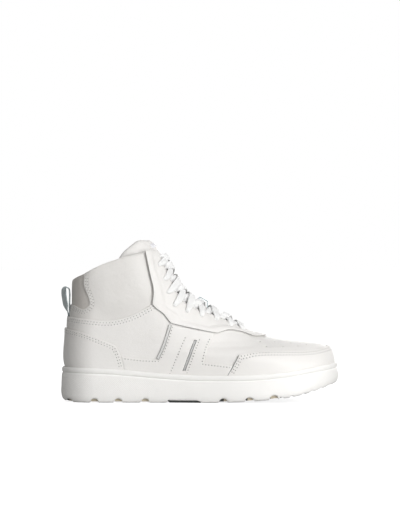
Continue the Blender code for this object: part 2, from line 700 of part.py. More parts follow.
def build_upper(leather, textile, foam, board, mesh, collection):
    """Every sheet of the upper. Pieces that come in pairs are named outer for -Y and inner for +Y."""
    eyestay_under = underlap(EYESTAY_BACK, UNDERLAP)
    toe_t = height_sheet(np.array([math.pi]), lambda s: np.full_like(s, TOE_OVERLAY_TOP))[0]

    # The eyestay: its back edges, its top, and the throat edge.
    rear_edge = (EYESTAY_REAR, EYESTAY_STEP, EYESTAY_LOWER, EYESTAY_TIP)
    back = located(joined(*(spline(line) for line in rear_edge)))
    eyestay = np.concatenate(
        [
            back[:-1],
            at_front(TIP_T, 0.012),
            at_front(THROAT_BASE_T, 0.012),
            throat_line(THROAT_BASE_T + 1.2, EYE_T[0] + 7.5, count=20)[::-1],
            located(spline(EYESTAY_TOP))[:0:-1],
        ]
    )
    holes = [hole(theta, t, EYELET_RADIUS, 10) for theta, t in EYE]
    pair("eyestay", eyestay, eyestay_inner, above(eyestay_inner, LEATHER), leather, collection, holes)

    # The vamp runs under both eyestays and round the toe.
    seam = spline(QUARTER_SEAM)
    front_under = located(spline(VAMP_UNDER_EYESTAY))
    vamp_half = np.concatenate(
        [
            at_front(SOLE_FRONT_T),
            located(sole_edge(283, 148.4)),
            located(seam[::-1])[1:-1] + (0.012, 0),
            front_under,
            at_front(TIP_T + 4.0),
        ]
    )
    sheet("vamp", round_front(vamp_half), BASE_DEPTH, 0.0, leather, collection)

    # Quarters, butted at the heel under the heel overlay.
    rear_under = clipped(underlap(EYESTAY_BACK, 3.4), low_s=101.5, high_s=145.5)
    rear_under = rear_under[rear_under[:, 1] < located([(98.9, 104.8)])[0, 1] + 3]
    quarter = np.concatenate(
        [
            located(spline(QUARTER_TOP))[1:],
            rear_under,
            located(seam)[1:-1],
            located(sole_edge(148, 9)),
            at_heel(HEEL_FOOT) + (BUTT_GAP, 0),
            at_heel(91.6) + (BUTT_GAP, 0),
        ]
    )
    pair("quarter", quarter, BASE_DEPTH, 0.0, leather, collection)

    # Collar panels, butted above the pull tab's anchor.
    lower = ((16, 83.6), (28.4, 81.9), (55.4, 80.4), (79, 85), (104, 96.5))
    collar_under = clipped(eyestay_under, low_s=90, high_t=located([(91, 161)])[0, 1] + 1.5)
    collar_under = collar_under[collar_under[:, 1] > located([(100, 98)])[0, 1] + 2]
    collar_panel = np.concatenate(
        [
            at_heel(104.2) + (BUTT_GAP, 0),
            located(spline(HEEL_TAB_EDGE[::-1]))[1:],
            located(spline(COLLAR[2:]))[1:],
            collar_under[1:],
            located(spline(lower[::-1]))[1:],
            at_heel(84.5) + (0.17, 0),
            at_heel(94.6) + (0.17, 0),
            at_heel(94.6) + (BUTT_GAP, 0),
        ]
    )
    pair("collar_panel", collar_panel, COLLAR_DEPTH, COLLAR_DEPTH + LEATHER, leather, collection)
    anchor = np.concatenate([at_heel(85.2) + (ANCHOR_HALF_ANGLE, 0), at_heel(93.9) + (ANCHOR_HALF_ANGLE, 0)])
    anchor = np.concatenate([at_heel(85.2), anchor, at_heel(93.9)])
    anchor = round_heel(anchor)
    sheet("pull_tab_anchor", anchor, COLLAR_DEPTH, COLLAR_DEPTH + LEATHER, mesh["webbing"], collection)

    # The heel tab runs under the collar panels.
    tab = ((15, 94.2), (31, 92.5), (37.5, 99), (37.5, 110), (31.5, 125), (32, 140.6))
    heel_tab = np.concatenate(
        [
            at_heel(95.4),
            located(spline(tab)),
            located(COLLAR[2::-1]),
            at_heel(130.6),
        ]
    )
    sheet("heel_tab", round_heel(heel_tab), HEEL_TAB_DEPTH, HEEL_TAB_DEPTH + LEATHER, leather, collection)

    # Outer overlays.
    heel_front = spline(HEEL_OVERLAY_FRONT)
    heel_overlay = np.concatenate(
        [
            at_heel(HEEL_FOOT),
            located(sole_edge(9, 70.5)),
            located(heel_front[::-1])[:-1],
            located(spline(HEEL_OVERLAY_TOP))[:0:-1],
            at_heel(79.2),
        ]
    )
    heel_overlay = round_heel(heel_overlay)
    sheet("heel_overlay", heel_overlay, OVERLAY_DEPTH, OVERLAY_DEPTH + LEATHER, leather, collection)
    side = np.concatenate(
        [
            located(joined(spline(SIDE_REAR), spline(SIDE_TOP), spline(SIDE_FRONT), spline(SIDE_FOOT))),
            located([(178.6, 29.5)]),
            located(sole_edge(176.5, 71.7)),
            located([(70.2, 37.0)]),
        ]
    )
    slot = located(np.concatenate([spline(SLOT[1:3]), spline((SLOT[3], SLOT[0]))]))
    pair("side_overlay", side, OVERLAY_DEPTH, OVERLAY_DEPTH + LEATHER, leather, collection, [slot])
    inset = np.array(((132.5, 35.2), (133.6, 35.2), (145.2, 64.8), (144.1, 64.8)))
    strip = located(np.concatenate([spline(inset[1:3]), spline((inset[3], inset[0]))]))
    pair("slot_mesh", strip, OVERLAY_DEPTH, OVERLAY_DEPTH + 0.5, mesh["dark"], collection)
    toe_half = np.concatenate(
        [
            at_front(SOLE_FRONT_T),
            located(sole_edge(283, 178)),
            located(joined(spline(TOE_REAR), spline(TOE_TOP))),
            at_front(toe_t),
        ]
    )
    sheet("toe_overlay", round_front(toe_half), OVERLAY_DEPTH, OVERLAY_DEPTH + LEATHER, leather, collection)

    # Stiffeners between the leather and the lining.
    counter = np.concatenate(
        [
            at_heel(27.5),
            located(sole_edge(10, 78)),
            located(spline(((77, 40), (66, 62), (46, 76), (26, 82), (6.5, 83.5)))[:-1]),
            at_heel(83.5),
        ]
    )
    sheet("heel_counter", round_heel(counter), BASE_DEPTH - 2.3, BASE_DEPTH - LAYER_GAP, board, collection)
    puff = np.concatenate(
        [
            at_front(SOLE_FRONT_T + 1.0),
            located(sole_edge(281, 236)),
            located(spline(((236, 32), (246, 52), (262, 61))))[1:],
            at_front(sheet_with_front(266)),
        ]
    )
    sheet("toe_puff", round_front(puff), BASE_DEPTH - 1.9, BASE_DEPTH - 0.75, board, collection)

    # Linings meet at a seam between the fifth and sixth eyelets.
    seam_t = (EYE_T[4] + EYE_T[5]) / 2
    lining_seam = ((143.6, 94.6), (146.5, 84), (150, 60), (150, 18))
    seam_places = located(spline(lining_seam))
    quarter_lining = np.concatenate(
        [
            at_heel(129.8),
            located(spline([(s, z - 0.8) for s, z in COLLAR[1:]])),
            located([(97.5, 161.6)]),
            throat_line(seam_t + 0.3, EYE_T[0] + 6.8, 0.012, 10),
            seam_places[:-1],
            located(sole_edge(150, 9)),
            at_heel(HEEL_FOOT),
        ]
    )
    rear_holes = [hole(theta, t, EYELET_RADIUS, 6) for theta, t in EYE[:5]]
    rear_holes += [mirrored(loop) for loop in rear_holes]
    sheet(
        "quarter_lining", round_heel(quarter_lining), lining_inner, above(lining_inner, LINING),
        textile, collection, rear_holes,
    )
    vamp_lining = np.concatenate(
        [
            at_front(SOLE_FRONT_T),
            located(sole_edge(282, 150.6)),
            seam_places[-2::-1] + (0.014, 0),
            throat_line(THROAT_BASE_T + 1.0, seam_t - 0.3, 0.02, 7),
            at_front(THROAT_BASE_T - 1.5),
        ]
    )
    front_holes = [hole(theta, t, EYELET_RADIUS, 6) for theta, t in EYE[5:]]
    front_holes += [np.stack([2 * math.pi - loop[:, 0], loop[:, 1]], axis=-1) for loop in front_holes]
    sheet(
        "vamp_lining", round_front(vamp_lining), lining_inner, above(lining_inner, LINING),
        textile, collection, front_holes,
    )

    # Collar padding between the collar panels and the lining.
    pad_front = clipped(underlap(EYESTAY_BACK, -5.0), low_s=80, high_t=located([(88, 157.5)])[0, 1])
    pad_front = pad_front[pad_front[:, 1] > located([(95, 96)])[0, 1]]
    pad = np.concatenate(
        [
            at_heel(91.5),
            located(spline(((14, 91.2), (40, 91.0), (66, 92.5), (84, 97)))),
            pad_front[::-1],
            located(spline([(s, z - 3.2) for s, z in COLLAR[1:-1]]))[::-1],
            at_heel(127.4),
        ]
    )

    def pad_outer(theta, t):
        s, _ = position(theta, t)
        behind_tab = 1 - ramp((s - 42) / 8)
        return COLLAR_DEPTH - 0.5 - (LEATHER + LAYER_GAP) * behind_tab

    sheet(
        "collar_foam", round_heel(pad), above(lining_inner, LINING + 0.95), pad_outer, foam, collection
    )


TONGUE_EDGE_FOAM = 0.8  # how thick the tongue's foam is at its edge
TONGUE_PADDING = 5.4  # how much thicker it is in its middle
TONGUE_PAD_RISE = 15.0  # how far from the edge it reaches its full thickness
FLAP_THICKNESS = 6.4
LABEL_HALF_ANGLE = 0.26  # in theta


def build_tongue(leather, textile, foam, mesh, collection):
    """The tongue in three layers, its folding top, the label on that, and the loop round the lace."""
    fold_t = sheet_with_front(105.2)
    bottom_t = THROAT_BASE_T - 4.5
    edge = located(spline(TONGUE_EDGE))
    half = np.concatenate([at_front(bottom_t), edge, located(spline(TONGUE_FOLD))[:-1], at_front(fold_t)])
    outline = round_front(half)
    loop = flat(outline)

    def padding(theta, t):
        places = np.stack([np.mod(theta, 2 * math.pi), t], axis=-1)
        return TONGUE_EDGE_FOAM + TONGUE_PADDING * ramp(distance_to(flat(places), loop) / TONGUE_PAD_RISE)

    skin_low = above(tongue_outer, -0.9)
    foam_high = above(tongue_outer, -1.2)
    foam_low = lambda theta, t: foam_high(theta, t) - padding(theta, t)
    lining_high = above(foam_low, -0.3)
    sheet("tongue_skin", outline, skin_low, tongue_outer, leather, collection)
    sheet("tongue_foam", outline, foam_low, foam_high, foam, collection)
    sheet("tongue_lining", outline, above(lining_high, -0.7), lining_high, textile, collection)

    top = np.concatenate(
        [
            at_front(fold_t + 0.5),
            located([(s, z + 0.5) for s, z in TONGUE_FOLD[::-1]])[1:],
            located(spline(TONGUE_TOP))[1:-1],
            at_front(sheet_with_front(99.4)),
        ]
    )
    flap = round_front(top)
    made = sheet("tongue_flap", flap, above(tongue_outer, -FLAP_THICKNESS), tongue_outer, leather, collection)
    hang(made, TONGUE_HINGE)
    low_t, high_t, edge = fold_t + 1.6, sheet_with_front(101.2), math.pi - LABEL_HALF_ANGLE
    label = round_front(np.array([(math.pi, low_t), (edge, low_t), (edge, high_t), (math.pi, high_t)]))
    low, high = above(tongue_outer, 0.3), above(tongue_outer, 1.0)
    made = sheet("tongue_label", label, low, high, textile, collection, cell=3.0)
    hang(made, TONGUE_HINGE)

    # The keeper: a strap along the tongue over one lace crossing.
    middle = (EYE_T[3] + EYE_T[4]) / 2
    rise = float(np.linalg.norm(surface(math.pi, middle + 0.5) - surface(math.pi, middle - 0.5)))
    reach = smooth_line(((0, 1), (4.6, 1), (7.6, 0), (9.4, 0)))
    steps = np.linspace(-9.3, 9.3, 15)
    t = middle + steps / rise
    theta = np.full(len(t), math.pi)
    foot = tongue_outer(theta, t) + 0.35 + 0.55
    depth = foot + (7.2 - foot) * reach(np.abs(steps))
    path = surface(theta, t) + normals(theta, t) * depth[:, None]
    aside = np.tile([0.0, 1.0, 0.0], (len(t), 1))
    swept("lace_keeper", path, aside, 3.2, 0.55, mesh["webbing"], collection)


# --- laces ------------------------------------------------------------------------------------------------

LACE_HALF_WIDTH = 2.8
LACE_HALF_THICKNESS = 0.72
LACE_AT_EYELET = (1.5, 0.8)
UNDER_LEVEL = -3.8
OVER_LEVEL = 1.3
STRAND_STEPS = (-1.0, -0.7, -0.4, -0.1, 0.2, 0.45, 0.66, 0.84, 1.0)


def mm_per_phi(t):
    step = 0.02
    return np.linalg.norm(surface(math.pi - step, t) - surface(math.pi, t), axis=-1) / step


def strand(start, end, side, over, last=False):
    """Control points (phi, t, depth, half width, half thickness), from over one eyelet to under another."""
    (phi_a, t_a), (phi_b, t_b) = start, end
    span = (phi_a + phi_b) * mm_per_phi((t_a + t_b) / 2)
    edge_a = float(throat_phi(t_a)) * 0.98
    edge_b = float(throat_phi(t_b)) * 1.0
    crown = float(tongue_bulge((t_a + t_b) / 2)) - 5.2
    if over:
        knots = ((-1.0, 1.5), (-0.6, crown + 2.0), (0, crown + 3.6), (0.42, crown + 2.9), (0.56, crown + 2.0))
        dive = 0.94
    else:
        knots = ((-1.0, 1.5), (-0.6, 1.5), (0, crown + 1.5), (0.22, crown + 1.25), (0.55, -0.6))
        dive = 0.95
    profile = smooth_line(knots + ((dive, UNDER_LEVEL), (1.2, UNDER_LEVEL)))
    found = []
    lead = 1.6 / span
    for r in STRAND_STEPS + ((1.12,) if last else ()):
        phi = -r * (edge_a if r < 0 else edge_b)
        share = (phi_a - phi) / (phi_a + phi_b)
        found.append((share, phi, t_a + (t_b - t_a) * share, float(profile(r))))
    width = LACE_HALF_WIDTH if phi_b * mm_per_phi(t_b) > 15 else 2.45
    rows = [(phi_a - (phi_a + phi_b) * lead, t_a + (t_b - t_a) * lead, OVER_LEVEL, 1.9, 0.85)]
    halfway = (lead + (phi_a - edge_a) / (phi_a + phi_b)) / 2
    rows.append((phi_a - (phi_a + phi_b) * halfway, t_a + (t_b - t_a) * halfway, OVER_LEVEL + 0.15, 2.1, 0.8))
    for share, phi, t, depth in found:
        near = min(share, 1 - share) * span
        grow = float(ramp((near - 2.0) / 3.5))
        rows.append((phi, t, depth, 1.9 + (width - 1.9) * grow, 0.85 + (LACE_HALF_THICKNESS - 0.85) * grow))
    if not last:
        rows.append((-(phi_b - (phi_a + phi_b) * lead), t_b - (t_b - t_a) * lead, UNDER_LEVEL, 1.9, 0.85))
    return [(side * phi, t, depth, w, h) for phi, t, depth, w, h in rows]


def turn_up(phi, t, side):
    """The lace rounding an eyelet's edge, from under the eyestay to over it."""
    outward = 0.7 / float(mm_per_phi(t))
    middle = (UNDER_LEVEL + OVER_LEVEL) / 2
    return [
        (side * (phi - 0.1 * outward), t, middle - 1.62, *LACE_AT_EYELET),
        (side * (phi + outward), t, middle, *LACE_AT_EYELET),
        (side * (phi - 0.1 * outward), t, middle + 1.62, *LACE_AT_EYELET),
    ]


def lace_half(side):
    """From the lowest eyelet on one side, zigzag to the top, and the end tucked under the other eyestay."""
    rows = turn_up(EYE_PHI[8], EYE_T[8], side)
    for k in range(8, 0, -1):
        over = (side > 0) == (k % 2 == 0)
        rows += strand((EYE_PHI[k], EYE_T[k]), (EYE_PHI[k - 1], EYE_T[k - 1]), side, over)
        side = -side
        rows += turn_up(EYE_PHI[k - 1], EYE_T[k - 1], side)
    end_t = EYE_T[0] + 5.5
    rows += strand((EYE_PHI[0], EYE_T[0]), (EYE_PHI[0], end_t), side, side < 0, last=True)
    return rows, side


def lace_points(rows):
    rows = np.array(rows)
    theta, t = math.pi - rows[:, 0], rows[:, 1]
    depth = np.maximum(rows[:, 2], tongue_outer(theta, t) + 1.3)
    points = surface(theta, t) + normals(theta, t) * depth[:, None]
    aside = surface(theta, t + 0.5) - surface(theta, t - 0.5)
    return points, aside, rows[:, 3], rows[:, 4]


def build_laces(textile, plastic, collection):
    """One flat lace, criss-crossed through nine pairs of eyelets, and the tips on its ends."""
    first, first_side = lace_half(1)
    second, second_side = lace_half(-1)
    phi, t = EYE_PHI[8], EYE_T[8]
    inner = phi - 1.6 / float(mm_per_phi(t))
    bar = [
        (side * share, t, UNDER_LEVEL + lift, 2.1, 0.72)
        for side, share, lift in (
            (-1, inner, -0.35), (-1, inner * 0.66, 0), (-1, inner * 0.33, 0), (1, 0, 0),
            (1, inner * 0.33, 0), (1, inner * 0.66, 0), (1, inner, -0.35),
        )
    ]
    rows = second[::-1] + bar + first
    points, aside, width, thickness = lace_points(rows)
    swept("lace", points, aside, width, thickness, textile, collection)
    for name, half, side in (("aglet_one", first, first_side), ("aglet_two", second, second_side)):
        end_phi, end_t = half[-1][0], half[-1][1]
        direction = math.copysign(1, end_phi)
        k = float(mm_per_phi(end_t))
        steps = [(1.3, 0.5), (1.7, 1.1), (2.2, 3.4), (2.8, 6.2), (3.0, 6.8)]
        tip = [
            (end_phi + direction * u / k, end_t + v, UNDER_LEVEL, w, h)
            for (u, v), w, h in zip(steps, (1.3, 1.9, 1.9, 1.9, 1.3), (0.55, 0.85, 0.85, 0.85, 0.55))
        ]
        points, aside, width, thickness = lace_points(tip)
        swept(name, points, aside, width, thickness, plastic, collection)


# --- the pull tab -----------------------------------------------------------------------------------------

PULL_TAB_LOOP = (
    (7.3, 95.3), (5.2, 99.5), (3.5, 104.5), (2.1, 110.2), (1.35, 116.4), (2.4, 121.0),
    (5.5, 122.5), (8.4, 121.0), (9.3, 116.6), (9.2, 110.6), (8.5, 106.0), (7.9, 101.5),
)
PULL_TAB_WIDTH = 14.0
PULL_TAB_THICKNESS = 1.2


def build_pull_tab(webbing, collection):
    """A loop of webbing that swings on its sewn end: a ribbon given the webbing's thickness."""
    curve = bpy.data.curves.new("pull_tab", "CURVE")
    curve.dimensions = "2D"
    curve.fill_mode = "NONE"
    curve.extrude = PULL_TAB_WIDTH / 2 * MM
    ribbon = curve.splines.new("POLY")
    ribbon.points.add(len(PULL_TAB_LOOP) - 1)
    ribbon.use_cyclic_u = True
    for point, (s, z) in zip(ribbon.points, PULL_TAB_LOOP):
        point.co = ((s - MIDDLE) * MM - PULL_TAB_HINGE[0], z * MM - PULL_TAB_HINGE[2], 0, 1)
    curve.materials.append(webbing)
    made = bpy.data.objects.new("pull_tab", curve)
    made.location = PULL_TAB_HINGE
    made.rotation_euler = (math.pi / 2, 0, 0)
    thickness = made.modifiers.new("thickness", "SOLIDIFY")
    thickness.thickness = PULL_TAB_THICKNESS * MM
    thickness.offset = 0
    collection.objects.link(made)


def main():
    for old in list(bpy.data.objects):
        bpy.data.objects.remove(old)
    shoe = bpy.data.collections.new("basketball_high_top")
    cutters = bpy.data.collections.new("cutters")
    for collection in (shoe, cutters):
        bpy.context.scene.collection.children.link(collection)
    leather = make_material("white_leather", WHITE_LEATHER, 0.5)
    rubber = make_material("sole_rubber", SOLE_WHITE, 0.6)
    textile = make_material("white_textile", TEXTILE_WHITE, 0.9)
    foam = make_material("foam", (0.8, 0.8, 0.78), 0.95)
    board = make_material("fibre_board", (0.7, 0.66, 0.58), 0.9)
    plastic = make_material("clear_tip", (0.8, 0.8, 0.78), 0.3)
    mesh = {
        "webbing": make_material("teal_webbing", TEAL, 0.8),
        "dark": make_material("dark_mesh", (0.2, 0.2, 0.2), 0.8),
    }
    build_outsole(rubber, shoe, cutters)
    build_footbed(foam, board, textile, shoe)
    build_upper(leather, textile, foam, board, mesh, shoe)
    build_tongue(leather, textile, foam, mesh, shoe)
    build_laces(textile, plastic, shoe)
    build_pull_tab(mesh["webbing"], shoe)


main()
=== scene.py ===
import math

import bpy
import numpy as np
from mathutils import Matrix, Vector
from mathutils.geometry import delaunay_2d_cdt


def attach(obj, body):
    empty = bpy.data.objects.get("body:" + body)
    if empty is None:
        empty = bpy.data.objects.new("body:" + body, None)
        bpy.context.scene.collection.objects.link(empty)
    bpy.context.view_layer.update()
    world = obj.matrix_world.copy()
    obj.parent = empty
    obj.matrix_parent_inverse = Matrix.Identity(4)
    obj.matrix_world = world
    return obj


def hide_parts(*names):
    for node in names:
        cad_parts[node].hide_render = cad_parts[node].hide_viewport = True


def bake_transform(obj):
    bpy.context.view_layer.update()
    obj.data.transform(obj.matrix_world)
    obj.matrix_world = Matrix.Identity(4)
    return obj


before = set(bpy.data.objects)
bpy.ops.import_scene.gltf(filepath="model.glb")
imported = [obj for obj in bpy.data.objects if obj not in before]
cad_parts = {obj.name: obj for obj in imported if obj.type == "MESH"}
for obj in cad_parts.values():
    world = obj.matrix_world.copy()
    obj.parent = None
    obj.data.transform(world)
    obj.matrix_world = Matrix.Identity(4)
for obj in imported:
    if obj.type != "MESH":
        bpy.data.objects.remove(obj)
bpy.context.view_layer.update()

# The looks of a basketball high top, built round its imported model. +X is towards the toe, +Z up and -Y the
# outer side. Shapes are worked out in millimetres, with s the distance from the back of the sole, and turned
# into metres as each mesh is made.
#
# The upper lies on the same surface(theta, t) as the CAD: theta is 0 at the middle of the heel and pi at the
# middle of the toe and instep, the outer side is between them, and t counts sheets from the sole to the collar.

MM = 0.001
MIDDLE = 149.8  # s of the origin
SIDE_SHIFT = -2.15  # y of the section centres at the heel
LEATHER = 1.0
OVERLAY_DEPTH = 0.95  # inner face of the outermost leather, above the surface
BASE_DEPTH = -1.0  # inner face of the leather whose outer face is the surface itself
COLLAR_DEPTH = -2.6
HEEL_TAB_DEPTH = -4.2
LINING = 0.8
LINING_DEPTH = -5.6
LINING_RISE = 3.4  # how far the lining rises under the eyelet row, where no panel lies over it
THROAT_DROP = 1.65  # how far the eyestay sinks there
COLLAR_SWELL = 5.2  # how much deeper the lining sits where the collar is padded
UNDERLAP = 5.5  # how far a panel runs on under the one that covers its edge
HIDDEN_DROP = 1.5  # how far below the lasting board's top the upper's panels end
CLEAR_OF_PULL_TAB = (0.17, 0)  # how far round the collar's foot stops beside the pull tab's sewn end
PANEL_GAP = (0.004, 0)  # keeps a panel's edge just off the middle line, or off the panel it meets

CELL = 3.0  # lattice pitch of the panels
FINE_CELL = 2.6
STRIP_CELL = 1.5
LATTICE_ROWS = 0.866  # spacing of the lattice's rows, as a share of its pitch
RIM_PITCH = 1.5  # point spacing along their edges
RIM_MARGIN = 0.8  # least distance from the edge to a row of points beside it, as a share of the row's own
LATTICE_MARGIN = 0.4  # and from the innermost row to the lattice, as a share of its pitch
SEAM_MARGIN = 0.5
RIM_RADIUS = 0.45  # rounding of a cut leather edge
LOW_SCALE = 115.0  # flat millimetres per radian of theta: low on the shoe, where its sheets are long
HIGH_SCALE = 62.0  # and at the ankle

STITCH_PITCH = 3.3
STITCH_LENGTH = 2.1
STITCH_RADIUS = 0.34
NEEDLE_HOLE = (0.6, 0.9, 0.2)  # half its length along the row, half its width, and how far its rim stands up
STITCH_SHAPE = ((-1.0, 0.0), (-0.55, 0.9), (0.55, 0.9), (1.0, 0.0))  # shares of its half length and radius
STITCH_CORNERS = 6
SEAM_WIDTH = 0.7
SEAM_DEPTH = 0.2
EDGE_LINE_PITCH = 1.2

HALVINGS = 40  # steps of each search for t
TINY = 1e-3  # step in theta and t when a slope is measured
WIDTH_BLEND = (45, 70)  # height where the low widths start to give way to the high one, and over how far

# Section sheets from the bottom up: heel s, heel z, front s, front z, sag in the middle, and the length over
# which the front end rounds off.
SECTIONS = (
    (7.0, 21.0, 288.5, 24.0, 10.5, 52.0),
    (5.6, 37.0, 294.0, 41.5, 9.5, 54.0),
    (4.4, 42.0, 292.3, 51.0, 7.0, 75.0),
    (4.0, 46.0, 288.5, 57.3, 5.0, 105.0),
    (3.9, 50.0, 281.0, 61.3, 4.0, 140.0),
    (4.1, 55.5, 256.0, 64.5, 3.0, 155.0),
    (4.5, 61.0, 235.0, 67.3, 2.0, 145.0),
    (5.0, 67.0, 217.0, 71.0, 1.0, 120.0),
    (5.4, 75.0, 200.0, 78.0, 0.0, 98.0),
    (5.7, 83.0, 185.0, 86.0, 0.0, 84.0),
    (6.2, 90.5, 169.0, 94.5, 0.0, 70.0),
    (7.4, 97.0, 152.5, 102.0, 0.0, 58.0),
    (8.2, 103.5, 139.0, 110.5, 0.0, 48.0),
    (8.4, 111.0, 127.5, 122.5, 0.0, 42.0),
    (8.4, 118.0, 119.5, 137.0, 0.0, 39.0),
    (8.4, 124.0, 113.5, 150.0, 0.0, 37.0),
    (8.8, 129.0, 107.5, 162.0, 0.0, 36.0),
    (9.6, 133.0, 101.0, 172.0, 0.0, 36.0),
    (10.0, 138.0, 96.0, 182.0, 0.0, 36.0),
)
HEEL_ROUNDING = 32.0

# Half widths along the shoe, low on its outer and its inner side and high up, and y of the centre line.
LOW_OUTER = (
    (0, 32.5), (40, 33.5), (80, 33.5), (120, 36), (160, 41.5), (200, 47.5), (235, 49), (270, 46.5), (300, 42),
)
LOW_INNER = (
    (0, 32.5), (40, 33), (80, 32), (120, 33), (160, 39), (200, 46.5), (235, 49.5), (270, 48.5), (300, 44),
)
HIGH = ((0, 36.5), (60, 36.5), (100, 35.5), (140, 31), (180, 30), (220, 38), (260, 44), (300, 44))
CENTRE_LINE = ((0, 0), (120, 0), (200, 0.5), (250, 3), (295, 8))

# Heights along the shoe: the sole's underside, its lip and the top of the lasting board.
SOLE_BOTTOM = ((0, 0), (150, 0), (202, 1.8), (228, 4), (247, 6.4), (258, 8.6), (287, 16.8), (300, 21))
SOLE_LIP = (
    (0, 37.3), (35, 36.7), (70, 34.6), (111, 31.2), (153, 29.2), (194, 29.5), (236, 32.6), (267, 37.3),
    (298, 42),
)
BOARD_TOP = ((0, 27), (50, 26.6), (100, 23.5), (150, 20), (200, 18.6), (240, 21), (270, 25.5), (292, 30))


# --- the surface ------------------------------------------------------------------------------------------


def eased(start, end, leaving, arriving, length, u):
    """The smooth curve from start to end, with the given slopes at its ends, at the share u of its length."""
    rise = start * (1 + 2 * u) * (1 - u) ** 2 + end * u * u * (3 - 2 * u)
    return rise + length * (leaving * u * (1 - u) ** 2 - arriving * u * u * (1 - u))


def smooth_line(knots):
    """A smooth function through (x, value) knots that never overshoots them. Values may be tuples."""
    xs = np.array([knot[0] for knot in knots], float)
    ys = np.array([knot[1:] for knot in knots], float)
    step = np.diff(xs)[:, None]
    slope = np.diff(ys, axis=0) / step
    tangent = np.zeros_like(ys)
    tangent[0], tangent[-1] = slope[0], slope[-1]
    same_way = slope[1:] * slope[:-1] > 0
    mean = 2 * slope[1:] * slope[:-1] / np.where(same_way, slope[1:] + slope[:-1], 1)
    tangent[1:-1] = np.where(same_way, mean, 0)

    def value(x):
        x = np.clip(np.asarray(x, float), xs[0], xs[-1])
        i = np.clip(np.searchsorted(xs, x, side="right") - 1, 0, len(xs) - 2)
        length = (xs[i + 1] - xs[i])[..., None]
        u = (x - xs[i])[..., None] / length
        out = eased(ys[i], ys[i + 1], tangent[i], tangent[i + 1], length, u)
        return out[..., 0] if out.shape[-1] == 1 else out

    return value


def sheet_positions():
    """t of each section sheet: the mean distance travelled by its two ends."""
    ends = np.array(SECTIONS)[:, :4]
    heel = np.linalg.norm(np.diff(ends[:, :2], axis=0), axis=1)
    front = np.linalg.norm(np.diff(ends[:, 2:], axis=0), axis=1)
    return np.concatenate([[0], np.cumsum((heel + front) / 2)])


SHEET_T = sheet_positions()
TOP_T = float(SHEET_T[-1])
section = smooth_line([(t, *row) for t, row in zip(SHEET_T, SECTIONS)])
low_outer, low_inner, high_width = smooth_line(LOW_OUTER), smooth_line(LOW_INNER), smooth_line(HIGH)
centre_line = smooth_line(CENTRE_LINE)
sole_bottom, sole_lip, board_top = smooth_line(SOLE_BOTTOM), smooth_line(SOLE_LIP), smooth_line(BOARD_TOP)


def ramp(x):
    """0 below 0, 1 above 1, and a smooth rise between."""
    x = np.clip(x, 0, 1)
    return x * x * (3 - 2 * x)


def rounded_end(share):
    """Width of a rounded end, 0 at the tip and 1 once share reaches 1."""
    return np.sqrt(np.clip(1 - (1 - np.clip(share, 0, 1)) ** 2, 0, 1))


def side_view(along, t):
    """s and z on sheet t at the share along of the way to its front, the sheet's length and its rounding."""
    heel_s, heel_z, front_s, front_z, sag, rounding = np.moveaxis(section(t), -1, 0)
    s = heel_s + (front_s - heel_s) * along
    z = heel_z + (front_z - heel_z) * along - sag * 4 * along * (1 - along)
    return s, z, front_s - heel_s, rounding


def surface(theta, t):
    """Points of the upper's surface, in millimetres, with x from the back of the sole."""
    theta, t = np.broadcast_arrays(np.asarray(theta, float), np.asarray(t, float))
    along = (1 - np.cos(theta)) / 2
    outer = np.sin(theta) > 0
    s, z, length, rounding = side_view(along, t)
    low = np.where(outer, low_outer(s), low_inner(s))
    width = low + (high_width(s) - low) * ramp((z - WIDTH_BLEND[0]) / WIDTH_BLEND[1])
    width = width * rounded_end(along * length / HEEL_ROUNDING)
    width = width * rounded_end((1 - along) * length / rounding)
    y = SIDE_SHIFT + centre_line(s) + np.where(outer, -width, width)
    return np.stack([s, y, z], axis=-1)


def normals(theta, t):
    """Outward unit normals of the surface."""
    rise = 40 * TINY
    around = surface(np.asarray(theta) + TINY, t) - surface(np.asarray(theta) - TINY, t)
    upward = surface(theta, np.clip(t + rise, 0, TOP_T)) - surface(theta, np.clip(t - rise, 0, TOP_T))
    normal = np.cross(around, upward)
    return normal / np.linalg.norm(normal, axis=-1, keepdims=True)


def searched(count, beyond):
    """For each of count places, halves the interval of t towards where beyond(t) begins. Returns the interval's
    lower end and the last t tried."""
    low, high = np.zeros(count), np.full(count, TOP_T)
    for _ in range(HALVINGS):
        middle = (low + high) / 2
        over = beyond(middle)
        high, low = np.where(over, middle, high), np.where(over, low, middle)
    return low, middle


def located(points):
    """(theta, t) on the outer side of side-view points (s, z)."""
    points = np.asarray(points, float).reshape(-1, 2)

    def along(t):
        heel_s, _, front_s, _, _, _ = np.moveaxis(section(t), -1, 0)
        return np.clip((points[:, 0] - heel_s) / (front_s - heel_s), 0, 1)

    _, t = searched(len(points), lambda t: side_view(along(t), t)[1] > points[:, 1])
    return np.stack([np.arccos(np.clip(1 - 2 * along(t), -1, 1)), t], axis=-1)


def position(theta, t):
    """s and z of points of the surface."""
    s, z, _, _ = side_view((1 - np.cos(theta)) / 2, t)
    return s, z


def height_sheet(theta, height):
    """t at which the surface at theta reaches the height curve height(s)."""

    def over(t):
        s, z = position(theta, t)
        return z > height(s)

    return searched(len(theta), over)[1]


def sheet_with_front(s):
    """t of the section sheet whose front end is at distance s."""
    return float(searched(1, lambda t: section(t)[:, 2] <= s)[0][0])


# --- outlines ---------------------------------------------------------------------------------------------


